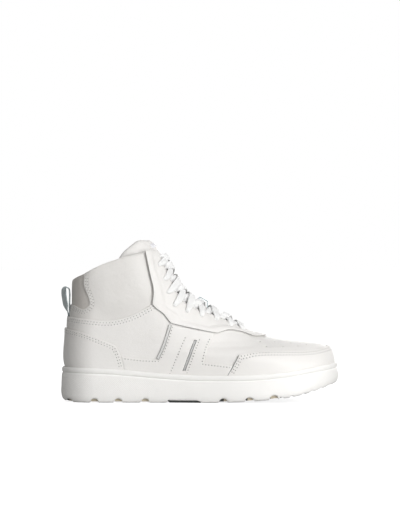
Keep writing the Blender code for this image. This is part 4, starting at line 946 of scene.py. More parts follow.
def build_outsole():
    """The rubber cup, with its lip, groove and notched tread, and the tan rubber that shows in the notches,
    painted near-black as shade under the arch and in the shaded part of each notch.
    """
    lip = Rings(sole_lip, SOLE_THETA)
    rings = [lip.at(offset, raised_by(k)) for offset, k in LOW_PROFILE]
    rings += [lip.at(offset, from_lip(k)) for offset, k in HIGH_PROFILE]
    deep = from_lip(-CUP_DEPTH)
    rings.append(Rings(deep, SOLE_THETA).at(CUP_INSIDE, deep))
    floor = Rings(under_board, SOLE_THETA)
    rings.append(floor.at(CUP_FLOOR_OFFSET, under_board))
    rings.append(floor.at(CUP_FLOOR_OFFSET, lambda s: sole_bottom(s) + CUP_FLOOR_HEIGHT))

    def slots_of(points, faces):
        middle = np.array([points[list(face)].mean(axis=0) for face in faces])
        cut = (notch_height(middle[:, 0]) > 0.4) & (middle[:, 2] < tread_height(middle[:, 0]) + CORE_HIDDEN)
        flat = np.array([np.ptp(points[list(face)][:, 1]) > MIDDLE_STRIP for face in faces])
        return (cut & flat).astype(int)

    looks = [MATERIALS["rubber"], MATERIALS["tan_rubber"]]
    outsole = ring_solid("cupsole", rings, looks, slots_of=slots_of)
    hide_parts("outsole")

    def core_bottom(s):
        height = np.full_like(s, CORE_HIDDEN)
        for centre, half, _, _ in NOTCHES:
            height = np.where(np.abs(s - centre) < half, CORE_IN_NOTCH, height)
        height = np.where((s > ARCH[0]) & (s < ARCH[1] - 0.6), CORE_IN_ARCH, height)
        return tread_height(s) + height

    # Painted shade: near-black on the core under the arch recess and over the rear share of each notch, where
    # the ground shadow falls.
    def core_slots(points, faces):
        place = np.array([points[list(face), 0].mean() for face in faces])
        dark = (place > ARCH[0]) & (place < ARCH[1])
        for centre, half, _, share in NOTCHES:
            dark |= (place > centre - half) & (place < centre - half + 2 * half * share)
        return dark.astype(int)

    core = [lip.at(CUP_FLOOR_OFFSET, height) for height in (core_bottom, lambda s: tread_height(s) + CORE_TOP)]
    looks = [MATERIALS["tan_rubber"], MATERIALS["painted_shade_rubber"]]
    ring_solid("tread_core", core, looks, slots_of=core_slots)


TEXTURE_PITCH = 2.1
TEXTURE_END = 172.0  # s where it ends
TEXTURE_FADE = 45.0  # and how far before that its pyramids start to shrink
TEXTURE_STATIONS = 600
TEXTURE_FROM_LIP = -9.0
TEXTURE_FROM_TREAD = 7.0
TEXTURE_WALL = (5.65, 4.95)  # how far out from the upper the wall is at the pattern's bottom and top
PYRAMID_SIZE, PYRAMID_LEAST = 0.98, 0.25  # share of the pitch, and the smallest half diagonal that is made
PYRAMID_FOOT, PYRAMID_TIP = 0.15, 0.3  # how far they reach in and out


def build_sidewall_texture():
    """Small pyramids in a diamond pattern on the rear half of the cup's wall, smaller towards the front."""
    top, bottom = from_lip(TEXTURE_FROM_LIP), lambda s: tread_height(s) + TEXTURE_FROM_TREAD
    theta_end = float(np.arccos(1 - 2 * TEXTURE_END / 298))
    line = Rings(sole_lip, np.linspace(-theta_end, theta_end, TEXTURE_STATIONS))
    spread = line.at(5.6, top)
    place = lengths_along(spread[:, :2])
    wall = [line.at(offset, height) for offset, height in zip(TEXTURE_WALL, (bottom, top))]
    rows = int((np.max(top(spread[:, 0]) - bottom(spread[:, 0]))) / (TEXTURE_PITCH / 2))
    columns = np.arange(place[0], place[-1], TEXTURE_PITCH)
    points, faces = [], []
    for row in range(rows):
        for shift in columns + (row % 2) * TEXTURE_PITCH / 2:
            low, high = (points_at(shift, place, line) for line in wall)
            share = row * TEXTURE_PITCH / 2 / (high[2] - low[2])
            if share > 1:
                continue
            centre = low + (high - low) * share
            ahead = points_at(shift + 0.5, place, wall[0]) - low
            ahead[2] = 0
            length = np.linalg.norm(ahead)
            if length < 1e-6:
                continue
            ahead /= length
            out = np.cross(ahead, (0, 0, 1.0))
            size = PYRAMID_SIZE * float(ramp((TEXTURE_END - centre[0]) / TEXTURE_FADE)) * TEXTURE_PITCH / 2
            if size < PYRAMID_LEAST:
                continue
            start = len(points)
            upright = np.array((0, 0, size))
            foot = [centre - ahead * size, centre - upright, centre + ahead * size, centre + upright]
            points += [corner - out * PYRAMID_FOOT for corner in foot] + [centre + out * PYRAMID_TIP]
            faces += [(start + a, start + b, start + 4) for a, b in ((0, 1), (1, 2), (2, 3), (3, 0))]
            faces.append((start + 3, start + 2, start + 1, start))
    new_piece("sidewall_texture", np.array(points), faces, [MATERIALS["rubber"]], sharp=20)


# The footbed's edge as (distance out from the upper, height above the board), bottom first.
FOOTBED_PROFILE = ((-8.2, 0.4), (-7.6, 0.9), (-7.4, 1.8), (-7.4, 3.2), (-7.7, 3.9), (-8.4, 4.2), (-12, 4.2))


def build_footbed():
    """The loose footbed, with a rounded edge."""
    line = Rings(board_top, SOLE_THETA)
    rings = [line.at(offset, lambda s, rise=rise: board_top(s) + rise) for offset, rise in FOOTBED_PROFILE]
    footbed = ring_solid("footbed", rings, [MATERIALS["footbed"]], body="sockliner")
    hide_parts("sockliner")


# --- the upper's lines ------------------------------------------------------------------------------------

# Outlines in side view, as (s, z).
COLLAR = (
    (8, 131), (14, 134), (25.3, 138.3), (38.8, 144.5), (51.2, 149.6), (62, 153.2), (76.1, 157.3),
    (90.6, 161.2),
)
HEEL_TAB_EDGE = ((25.3, 138.3), (24.6, 124.8), (30, 112), (31.2, 104), (25.3, 99.9), (10.8, 104.5))
QUARTER_TOP = ((5.0, 91.6), (28.4, 88.9), (55.4, 87.5), (76.1, 92.7), (98.9, 104.5))
HEEL_OVERLAY_TOP = ((4.0, 79.2), (26.4, 74), (45, 66.8), (59.5, 60.6))
HEEL_OVERLAY_FRONT = ((59.5, 60.6), (64.7, 50.2), (68.8, 35.7))
EYESTAY_TOP = ((90.6, 161.2), (97.5, 162.6), (104, 162.4))
EYESTAY_REAR = ((90.6, 161.2), (95.4, 139), (99.9, 117), (98.9, 104.8))
EYESTAY_STEP = ((98.9, 104.8), (104, 99.5), (109.2, 95.8), (118.5, 84.5))
EYESTAY_LOWER = ((118.5, 84.5), (144.5, 78.2), (168, 73.4))
EYESTAY_TIP = ((168, 73.4), (180.7, 76.6), (194.2, 74.4), (208, 69.6), (221, 69.9))
SIDE_REAR = ((66.6, 48.8), (86, 46.4), (105.9, 45.6))
SIDE_BAND = ((105.9, 45.6), (111, 56.5), (119.4, 82.4))
SIDE_TOP = ((119.4, 82.4), (144.3, 77.1), (164.6, 73.2))
SIDE_FRONT = ((164.6, 73.2), (158, 58), (153.8, 42.9))
SIDE_FOOT = ((153.8, 42.9), (168, 41.2), (184.4, 39.4))
TOE_REAR = ((179.6, 29.5), (185.4, 39.4), (191.1, 50.2))
TOE_TOP = ((191.1, 50.2), (206.6, 53.3), (240, 54.2), (262, 54.2), (275, 55.4), (282, 57.2))
SLOT = ((131.6, 34.0), (134.1, 34.0), (146.2, 66.0), (143.7, 66.0))
EYELETS = (
    (106.0, 147.5), (112.0, 131.8), (115.6, 117.5), (122.5, 104.0), (136.3, 97.4),
    (151.3, 93.0), (167.8, 88.6), (182.8, 82.4), (195.6, 77.2),
)
EYELET_RADIUS = 2.3
THROAT_SHARE = 0.64  # of the way from the middle line to an eyelet at which the throat's edge lies
VAMP_UNDER_EYESTAY = ((149, 80.8), (158, 78.8), (168, 76.8), (180, 78.4), (191, 76.4), (202, 73.0))
QUARTER_SEAM = ((148, 86), (147, 60), (148, 16))
TONGUE_EDGE = (
    (210, 72), (200, 71.4), (188, 71.8), (165, 77.5), (140, 88), (120, 97.5),
    (105, 106.5), (92, 117.5), (80, 130), (70, 142), (63, 152.5),
)
TONGUE_TOP = ((61.4, 151.6), (65, 157), (74, 165.2), (82.5, 171.4), (90, 176.2), (95, 176.8), (99.4, 174.6))
PERFORATIONS = ((214, 65), (220.5, 60), (230, 64.5), (238.3, 60), (247, 62.8), (254.9, 60), (264, 61.4))
COLLAR_FOOT = ((104, 96.5), (79, 85), (55.4, 80.4), (28.4, 81.9), (16, 83.6))
HEEL_TAB_UNDER = ((15, 94.2), (31, 92.5), (37.5, 99), (37.5, 110), (31.5, 125), (32, 140.6))
LINING_SEAM = ((143.6, 94.6), (146.5, 84), (150, 60), (150, 18))
# Outline and depths of the near-black sheet under the vamp's holes, painted shade where the lining is white.
VENT_SHADE_SHEET = ((206, 52), (232, 56), (258, 54), (270, 60))
VENT_SHADE_SHEET_DEPTHS = (-2.2, -1.5)
CENTRE_PERFORATIONS = (226, 243, 260)  # s of those on the middle line

EYE = located(EYELETS)
EYE_PHI = math.pi - EYE[:, 0]
EYE_T = EYE[:, 1]


THROAT_BASE_T = sheet_with_front(206.5)
TIP_T = sheet_with_front(221.0)
FOLD_T = sheet_with_front(105.2)

throat_phi = smooth_line(
    [(THROAT_BASE_T, 0.0), (THROAT_BASE_T + 1.2, EYE_PHI[-1] * THROAT_SHARE * 0.62)]
    + [(t, phi * THROAT_SHARE) for t, phi in zip(EYE_T[::-1], EYE_PHI[::-1])]
    + [(EYE_T[0] + 9.0, EYE_PHI[0] * THROAT_SHARE * 0.97)]
)
tongue_bulge = smooth_line(
    (
        (THROAT_BASE_T, 0.6), (EYE_T[8], 3.4), (EYE_T[7], 4.8), (EYE_T[6], 6.0), (EYE_T[1], 6.2),
        (EYE_T[0], 5.4), (FOLD_T, 3.3), (TOP_T, 3.0),
    )
)
EYESTAY_BACK = located(
    joined(
        spline(((86, 185), (90.6, 161.2))), spline(EYESTAY_REAR), spline(EYESTAY_STEP),
        spline(EYESTAY_LOWER), spline(EYESTAY_TIP),
    )
)
EYESTAY_AREA = np.concatenate([EYESTAY_BACK, [(math.pi + 0.5, TIP_T), (math.pi + 0.5, TOP_T + 9)]])
CAD_SCALE = 144 / math.pi  # flat millimetres per radian of theta that the CAD's layers follow


def flat(places):
    """(theta, t) as flat distances in millimetres, on the scale that the CAD's layers follow."""
    return np.asarray(places, float) * (CAD_SCALE, 1.0)


def eyestay_reach(theta, t):
    """Flat distance in from the eyestay's rear and lower edge: negative where the eyestay doesn't reach."""
    places = flat(np.stack([np.arccos(np.clip(np.cos(theta), -1, 1)), t], axis=-1))
    distance = distance_to(places, flat(EYESTAY_BACK), closed=False)
    return np.where(inside(places, flat(EYESTAY_AREA)), distance, -distance)


collar_height = smooth_line([(s, z) for s, z in COLLAR] + [(104, 163)])


def raised(theta, t):
    """1 under the eyelet row, where only the eyestay lies over the lining."""
    return ramp((eyestay_reach(theta, t) - UNDERLAP - 0.8) / 2.5)


def padded(theta, t):
    """1 where the collar is padded, without its top edge."""
    _, z = position(theta, t)
    return ramp((z - 86) / 12) * ramp((-eyestay_reach(theta, t) - 1) / 9)


def lining_inner(theta, t):
    """Depth of the lining's inner face."""
    s, z = position(theta, t)
    swell = padded(theta, t) * ramp((collar_height(s) - z) / 8)
    return LINING_DEPTH - COLLAR_SWELL * swell + LINING_RISE * raised(theta, t)


def eyestay_inner(theta, t):
    """Depth of the eyestay's inner face."""
    return OVERLAY_DEPTH - THROAT_DROP * raised(theta, t)


TONGUE_DEPTH = -5.4
WING_DROP = 7.2  # how much deeper the free top's wings lie than its middle


def tongue_outer(theta, t):
    """Depth of the tongue's outer face: full in the throat, sunk under the eyestays and the padded collar."""
    phi = np.abs(math.pi - np.mod(theta, 2 * math.pi))
    bulge = tongue_bulge(t) * ramp(1.15 * (1 - phi / np.maximum(throat_phi(t), 0.05)))
    sunk = TONGUE_DEPTH - 2.0 * (1 - raised(theta, t)) - COLLAR_SWELL * padded(theta, t)
    s, z = position(theta, t)
    free = ramp((z - collar_height(s) + 2) / 6)
    dome = TONGUE_DEPTH - WING_DROP * ramp((phi - 0.3) / 1.1)
    return sunk + (dome - sunk) * free + bulge


def above(depth, amount):
    """The depth function of a face that lies an amount above another."""
    return lambda theta, t: depth_of(depth, theta, t) + amount


def underlap(line, distance):
    """A (theta, t) line moved to its left by a flat distance."""
    return shifted(flat(line), distance, closed=False) / (CAD_SCALE, 1.0)


def clipped(line, low_s=None, high_s=None, high_t=None):
    """The points of a (theta, t) line within limits of s and t."""
    s, _ = position(line[:, 0], line[:, 1])
    keep = np.ones(len(line), bool)
    if low_s is not None:
        keep &= s >= low_s
    if high_s is not None:
        keep &= s <= high_s
    if high_t is not None:
        keep &= line[:, 1] <= high_t
    return line[keep]


def at_heel(z):
    """The middle of the heel at a height."""
    return np.array([[0.0, height_sheet(np.zeros(1), lambda s: np.full_like(s, z))[0]]])


def at_front(t, gap=0.0):
    """The middle of the instep or toe, or a little to the outer side of it."""
    return np.array([[math.pi - gap, t]])


SOLE_FRONT_T = float(height_sheet(np.array([math.pi]), hidden_height)[0])


def throat_line(low_t, high_t, inset=0.0, count=9):
    """The throat edge on the outer side, top first, moved in by inset radians."""
    t = np.linspace(high_t, low_t, count)
    return np.stack([math.pi - throat_phi(t) - inset, t], axis=-1)


# --- the upper's pieces -----------------------------------------------------------------------------------


RIM_ROWS = (0.15, 0.45)  # distances of the point rows beside a rounded edge; thick pieces have more
COLLAR_RIMS = RIM_ROWS + (1.2, 2.2, 3.4)
LINING_RIMS = RIM_ROWS + (1.4, 2.6, 4.0)
TONGUE_RIMS = RIM_ROWS + (1.2, 2.4, 4.0)
LINING_SCALE = 90
LINING_ROLL = 2.0  # how far the lining turns outwards at the collar's top edge
LINING_ROLL_REACH = 5.0
COLLAR_CROWN = 1.5  # how far the padding swells the collar's leather
HEEL_FOOT = 26.3  # height at which the panels end at the heel, inside the sole's cup
EYESTAY_SCALE = 80
EYESTAY_GAP = 0.006  # radians between the two eyestays in front of the laces, halved
PERFORATION_RADIUS = 0.95
OVERLAY_OUTER = OVERLAY_DEPTH + LEATHER
SLOT_STITCHES = (((134.5, 70.3), (118.7, 32.6)), ((149.6, 68), (136.8, 33.5)))
SLOT_INSET = (0.25, 0)
TOE_STITCHES = (1.9, 4.2)
BAND_WIDTH = 2.9  # of the mesh strip behind the side overlay's front band


def outside_eyestay(theta, t):
    """0 under the eyestay and at its edge, 1 from 4 mm outside it."""
    return np.clip(-eyestay_reach(theta, t) / 4, 0, 1)


def collar_roll(depth, inner, reach=3.4):
    """Turns a collar piece's depth to the middle of the padding at its top edge, where the two sides meet."""
    middle = COLLAR_DEPTH - 1.0

    def rolled(theta, t):
        s, z = position(theta, t)
        full = depth_of(depth, theta, t)
        roll = edge_drop(collar_height(s) - z, reach)
        return full + (middle + inner - full) * roll * outside_eyestay(theta, t)

    return rolled


def build_eyestay():
    """The eyelet row's panel, with its holes, a row of stitches along the laces and a dark rear edge."""
    back = located(joined(*map(spline, (EYESTAY_REAR, EYESTAY_STEP, EYESTAY_LOWER, EYESTAY_TIP))))
    throat = throat_line(THROAT_BASE_T + 1.2, EYE_T[0] + 7.5, count=60)[::-1]
    outline = np.concatenate(
        [
            back[:-1], at_front(TIP_T, EYESTAY_GAP), at_front(THROAT_BASE_T, EYESTAY_GAP), throat,
            located(spline(EYESTAY_TOP))[:0:-1],
        ]
    )
    holes = [hole(theta, t, EYELET_RADIUS, 16) for theta, t in EYE]
    lace_side = throat_line(THROAT_BASE_T + 4.0, EYE_T[0] + 5.5, 0.045, count=50)
    outer = above(eyestay_inner, LEATHER + 0.1)
    pair(
        "eyestay", outline, eyestay_inner, outer, LEATHER_LOOK, "white_leather", holes, [lace_side],
        scale=EYESTAY_SCALE, cell=FINE_CELL,
    )
    sew(lace_side, outer)
    edge_line("eyestay_edge", back, OVERLAY_DEPTH + 0.7, 0.15, "dark_edge")


def build_vamp():
    """The toe box's leather, with its holes and a near-black sheet under them, painted shade that shows through
    them.
    """
    seam = spline(QUARTER_SEAM)
    half = np.concatenate(
        [
            at_front(SOLE_FRONT_T), located(sole_edge(283, 148.4)), located(seam[::-1])[1:-1] + PANEL_GAP,
            located(spline(VAMP_UNDER_EYESTAY)), at_front(TIP_T + 4.0),
        ]
    )
    vents = [hole(theta, t, PERFORATION_RADIUS, 10) for theta, t in located(PERFORATIONS)]
    vents += [mirrored_at_front(vent) for vent in vents]
    vents += [hole(math.pi, sheet_with_front(s), PERFORATION_RADIUS, 10) for s in CENTRE_PERFORATIONS]
    vamp = panel("vamp_skin", round_front(half), BASE_DEPTH, 0.0, LEATHER_LOOK, "white_leather", vents)
    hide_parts("vamp")
    # A near-black sheet under the holes: painted shade, since the lining there is white.
    rear, front = (at_front(sheet_with_front(s)) for s in (209, 272))
    shade_sheet = np.concatenate([front, located(spline(VENT_SHADE_SHEET))[::-1], rear])
    dark = (MATERIALS["painted_hole_shade"],)
    panel("vent_shade_sheet", round_front(shade_sheet), *VENT_SHADE_SHEET_DEPTHS, dark, "dark_mesh", cell=5.0)


def build_quarters():
    """The side panels between the heel and the vamp, with a double row of stitches along their top."""
    rear_under = clipped(underlap(EYESTAY_BACK, 3.4), low_s=101.5, high_s=145.5)
    rear_under = rear_under[rear_under[:, 1] < located([(98.9, 104.8)])[0, 1] + 3]
    top = spline(QUARTER_TOP)
    outline = np.concatenate(
        [
            located(top)[1:], rear_under, located(spline(QUARTER_SEAM))[1:-1], located(sole_edge(148, 9)),
            at_heel(HEEL_FOOT) + PANEL_GAP, at_heel(91.6) + PANEL_GAP,
        ]
    )
    rows = [located(beside(top, -distance)[1:-1]) for distance in (2.2, 4.8)]
    pair("quarter", outline, BASE_DEPTH, 0.0, LEATHER_LOOK, "white_leather", seams=rows)
    for row in rows:
        sew(row, 0.0)


def build_collar():
    """The collar's padded side panels and the heel tab between them."""
    edge = MATERIALS["cut_edge"]
    under = clipped(underlap(EYESTAY_BACK, UNDERLAP), low_s=90, high_t=located([(91, 161)])[0, 1] + 1.5)
    under = under[under[:, 1] > located([(100, 98)])[0, 1] + 2]
    tab_edge = spline(HEEL_TAB_EDGE)
    outline = np.concatenate(
        [
            at_heel(104.2) + PANEL_GAP, located(tab_edge[::-1])[1:], located(spline(COLLAR[2:]))[1:],
            under[1:], located(spline(COLLAR_FOOT))[1:], at_heel(84.5) + CLEAR_OF_PULL_TAB,
            at_heel(94.6) + CLEAR_OF_PULL_TAB, at_heel(94.6) + PANEL_GAP,
        ]
    )
    rows = [located(beside(tab_edge, distance)[2:-2]) for distance in (2.2, 4.6)]

    def outer(theta, t):
        s, z = position(theta, t)
        crown = ramp((z - 90) / 20) * ramp((collar_height(s) - z) / 16) * ramp(-eyestay_reach(theta, t) / 22)
        return COLLAR_DEPTH + LEATHER + COLLAR_CROWN * crown * ramp((s - 34) / 16)

    # The collar leather's darker base is painted shade.
    pair(
        "collar_panel", outline, COLLAR_DEPTH, collar_roll(outer, 0.3), (MATERIALS["soft_leather_painted_shade"], edge),
        "white_leather", seams=rows, scale=HIGH_SCALE, cell=FINE_CELL, rims=COLLAR_RIMS,
    )
    for row in rows:
        sew(row, outer)
    sides = [located(spline(line)) for line in (HEEL_TAB_UNDER, COLLAR[2::-1])]
    outline = np.concatenate([at_heel(95.4), *sides, at_heel(130.6)])
    # The heel tab's darker leather is painted shade.
    heel_tab = panel(
        "heel_tab_skin", round_heel(outline), HEEL_TAB_DEPTH,
        collar_roll(HEEL_TAB_DEPTH + LEATHER + 0.3, 0.2, 3.0), (MATERIALS["tab_leather_painted_shade"], edge),
        "white_leather", scale=HIGH_SCALE, cell=FINE_CELL, rims=COLLAR_RIMS,
    )
    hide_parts("heel_tab")


def build_heel_overlay():
    """The panel round the heel."""
    top, front = spline(HEEL_OVERLAY_TOP), spline(HEEL_OVERLAY_FRONT)
    outline = np.concatenate(
        [
            at_heel(HEEL_FOOT), located(sole_edge(9, 70.5)), located(front[::-1])[:-1], located(top)[:0:-1],
            at_heel(79.2),
        ]
    )
    border = joined(top, front)
    rows = [located(beside(border, -distance)[1:-3]) for distance in (2.0, 4.4)]
    both = rows + [mirrored(row) for row in rows]
    made = panel(
        "heel_overlay_skin", round_heel(outline), OVERLAY_DEPTH, OVERLAY_OUTER, LEATHER_LOOK, "white_leather",
        seams=both,
    )
    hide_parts("heel_overlay")
    for row in rows:
        sew(row, OVERLAY_OUTER)


def build_side_overlay():
    """The side panel with its slanting slot, and the mesh strips that show in the slot and beside its band."""
    heel_side = beside(spline(HEEL_OVERLAY_FRONT), 0.12)[::-1]
    heel_side = heel_side[heel_side[:, 1] < SIDE_REAR[0][1] - 0.5]
    rear, band, over = spline(SIDE_REAR), spline(SIDE_BAND), spline(SIDE_TOP)
    front, foot = spline(SIDE_FRONT), spline(SIDE_FOOT)
    outline = np.concatenate(
        [
            located(joined(rear, band, over, front, foot)), located([(178.9, 29.5)]),
            located(sole_edge(177, 73)), located(heel_side),
        ]
    )
    slot = located(np.concatenate([spline(SLOT[1:3]), spline((SLOT[3], SLOT[0]))]))
    rows = [
        located(beside(rear, -1.8)[1:-1]), located(beside(band, -1.6)[1:-2]),
        *(located(spline(line)) for line in SLOT_STITCHES), located(beside(joined(front, foot), -1.8)[3:-2]),
    ]
    pair("side_overlay", outline, OVERLAY_DEPTH, OVERLAY_OUTER, LEATHER_LOOK, "white_leather", [slot], rows)
    for row in rows:
        sew(row, OVERLAY_OUTER)
    inset = spline(SLOT[1:3]) - SLOT_INSET, spline((SLOT[3], SLOT[0])) + SLOT_INSET
    strip = located(np.concatenate(inset))
    mesh = (MATERIALS["slot_mesh"],)
    pair("slot_mesh", strip, OVERLAY_DEPTH, OVERLAY_DEPTH + 0.55, mesh, "dark_mesh", cell=STRIP_CELL)
    for index, line in enumerate((SLOT[1:3], SLOT[2:4], (SLOT[3], SLOT[0]))):
        edge_line(f"slot_edge_{index}", located(spline(line)), OVERLAY_OUTER - 0.2, 0.24, "dark_edge")
    band_rear = located(beside(band, BAND_WIDTH))
    band_strip = np.concatenate([located(band), band_rear[::-1]])
    for side, turn in BOTH_SIDES:
        mesh = (MATERIALS["band_mesh"],)
        panel(f"band_mesh_{side}", turn(band_strip), 0.1, 1.2, mesh, "dark_mesh", cell=STRIP_CELL)
    edge_line("band_edge_front", located(band), OVERLAY_DEPTH + 0.5, 0.25, "grey_edge")
    edge_line("band_edge_rear", band_rear, 0.9, 0.25, "grey_edge")


def build_toe_overlay():
    """The panel round the toe, with a double row of stitches that runs right across the front."""
    rear, over = spline(TOE_REAR), spline(TOE_TOP)
    toe_t = height_sheet(np.array([math.pi]), lambda s: np.full_like(s, 58.6))[0]
    border = joined(rear, over)
    half = np.concatenate(
        [at_front(SOLE_FRONT_T), located(sole_edge(283, 178)), located(border), at_front(toe_t)]
    )
    rows = []
    for distance in TOE_STITCHES:
        side = located(beside(border, -distance)[2:-3])
        rest = at_front(toe_t - distance, PANEL_GAP[0]) - side[-1]
        rows.append(np.concatenate([side, side[-1] + rest * np.linspace(0.05, 1, 20)[:, None]]))
    both = rows + [mirrored_at_front(row) for row in rows]
    made = panel(
        "toe_overlay_skin", round_front(half), OVERLAY_DEPTH, OVERLAY_OUTER, LEATHER_LOOK, "white_leather",
        seams=both,
    )
    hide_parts("toe_overlay")
    for row in both:
        sew(row, OVERLAY_OUTER, both=False)
    edge_line("toe_edge", located(rear), OVERLAY_DEPTH + 0.55, 0.38, "dark_edge")


def build_lining():
    """The padded collar lining and the forefoot lining, with the seam between them at the fifth eyelet."""
    cloth = MATERIALS["lining"]
    seam_t = (EYE_T[4] + EYE_T[5]) / 2
    seam = located(spline(LINING_SEAM))
    outline = np.concatenate(
        [
            at_heel(130.3), located(spline([(s, z - 0.3) for s, z in COLLAR[1:]])), located([(97.5, 161.6)]),
            throat_line(seam_t + 0.3, EYE_T[0] + 6.8, 0.012, 30), seam[:-1], located(sole_edge(150, 9)),
            at_heel(HEEL_FOOT),
        ]
    )

    def inner(theta, t):
        s, z = position(theta, t)
        roll = LINING_ROLL * edge_drop(collar_height(s) - z, LINING_ROLL_REACH)
        return lining_inner(theta, t) + roll * outside_eyestay(theta, t)

    rear = panel(
        "collar_lining", round_heel(outline), inner, above(inner, LINING), (cloth,), "white_textile",
        scale=LINING_SCALE, rims=LINING_RIMS,
    )
    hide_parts("quarter_lining", "collar_foam")
    half = np.concatenate(
        [
            at_front(SOLE_FRONT_T), located(sole_edge(282, 150.6)), seam[-2::-1] + (0.006, 0),
            throat_line(THROAT_BASE_T + 1.0, seam_t - 0.3, 0.02, 20), at_front(THROAT_BASE_T - 1.5),
        ]
    )
    front = panel(
        "forefoot_lining", round_front(half), lining_inner, above(lining_inner, LINING), (cloth,),
        "white_textile",
    )
    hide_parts("vamp_lining")


# --- the tongue -------------------------------------------------------------------------------------------

TONGUE_THICKNESS = 7.5
TONGUE_EDGE_THICKNESS = 3.4
TONGUE_ROUNDING = (4.5, 2.6)  # reach and depth of the rounding of its outer edge
TONGUE_INNER_REACH = 9.0
TONGUE_PUFF = 0.9  # how far the middle of its free top swells
LABEL_HALF_WIDTH = 0.26  # radians
LABEL_DEPTHS = (-0.3, 0.65)  # from the tongue's face
KEEPER_HALF_LENGTH = 9.3
KEEPER_STATIONS = 45
KEEPER_REACH = ((0, 1), (4.6, 1), (7.6, 0), (9.4, 0))  # share of its height at a distance from its middle
KEEPER_HEIGHT = 7.4
KEEPER_FOOT = 0.9


def build_tongue():
    """The padded tongue and its label."""
    outline = np.concatenate(
        [
            at_front(THROAT_BASE_T - 4.5), located(spline(TONGUE_EDGE)),
            located(spline(TONGUE_TOP))[:-1], at_front(sheet_with_front(99.4)),
        ]
    )
    loop = round_front(outline)
    edge = loop * (HIGH_SCALE, 1.0)

    def rim(theta, t):
        places = np.stack([np.mod(theta, 2 * math.pi) * HIGH_SCALE, t], axis=-1)
        return distance_to(places, edge)

    def outer(theta, t):
        reach, drop = TONGUE_ROUNDING
        puff = TONGUE_PUFF * ramp(rim(theta, t) / 14) * ramp((t - FOLD_T + 3) / 9)
        return tongue_outer(theta, t) - drop * edge_drop(rim(theta, t), reach) + puff

    def inner(theta, t):
        thinner = (TONGUE_THICKNESS - TONGUE_EDGE_THICKNESS) * edge_drop(rim(theta, t), TONGUE_INNER_REACH)
        return tongue_outer(theta, t) - TONGUE_THICKNESS + thinner

    tongue = panel(
        "tongue", loop, inner, outer, (MATERIALS["leather"],), "white_leather", scale=HIGH_SCALE,
        cell=2.4, rims=TONGUE_RIMS, body=None,
    )
    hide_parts("tongue_skin", "tongue_foam", "tongue_lining", "tongue_flap")
    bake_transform(tongue)

    side, low_t, high_t = math.pi - LABEL_HALF_WIDTH, FOLD_T + 1.6, sheet_with_front(101.2)
    label = np.array([(math.pi, low_t), (side, low_t), (side, high_t), (math.pi, high_t)])
    made = panel(
        "tongue_label_cloth", round_front(label), *(above(outer, depth) for depth in LABEL_DEPTHS),
        (MATERIALS["label"],), "white_textile", scale=HIGH_SCALE, cell=STRIP_CELL, body="tongue_top",
    )
    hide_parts("tongue_label")


def build_keeper():
    """The webbing loop on the tongue that keeps the lace central."""
    middle = 0.75 * EYE_T[3] + 0.25 * EYE_T[4]
    rise = float(np.linalg.norm(surface(math.pi, middle + 0.5) - surface(math.pi, middle - 0.5)))
    reach = smooth_line(KEEPER_REACH)
    steps = np.linspace(-KEEPER_HALF_LENGTH, KEEPER_HALF_LENGTH, KEEPER_STATIONS)
    t = middle + steps / rise
    theta = np.full(len(t), math.pi)
    foot = tongue_outer(theta, t) + KEEPER_FOOT
    depth = foot + (KEEPER_HEIGHT - foot) * reach(np.abs(steps))
    path = surface(theta, t) + normals(theta, t) * depth[:, None]
    aside = np.tile([0.0, 1.0, 0.0], (len(t), 1))
    webbing = MATERIALS["webbing"]
    keeper = swept("lace_keeper_loop", path, aside, 3.4, 0.6, webbing, flatness=0.4)
    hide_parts("lace_keeper")


# --- laces ------------------------------------------------------------------------------------------------

LACE_HALF_WIDTH = 4.0
LACE_HALF_THICKNESS = 1.0
LACE_AT_EYELET = (2.2, 0.95)  # half width and half thickness
EYELET_LEAD = 1.6  # from the middle of an eyelet to the first point outside it
LACE_STEPS = 4  # points between two control points
UNDER_LEVEL = -3.8  # depth of the lace under the eyestay
OVER_LEVEL = 1.5  # and over it
STRAND_STEPS = (-1.0, -0.7, -0.4, -0.1, 0.2, 0.45, 0.66, 0.84, 1.0)  # -1 and 1 are at the throat's edges
TOP_RISE_SHARE = 0.35  # the last strand climbs less, because its end is tucked under the eyestay's top


def mm_per_phi(t):
    """Millimetres across the instep per radian from its middle line."""
    step = 0.02
    return np.linalg.norm(surface(math.pi - step, t) - surface(math.pi, t), axis=-1) / step


def crossing_rise(phi, t):
    """How far up the throat, in t, a lace has come at the middle line when it crosses the tongue squarely."""
    higher = np.linspace(t, min(t + 40, TOP_T - 1), 80)
    ridge = surface(math.pi, higher)
    away = ridge - surface(math.pi - phi, t) * (1, 0, 1)
    slant = np.abs((away * np.gradient(ridge, axis=0)).sum(axis=1))
    return higher[slant.argmin()] - t


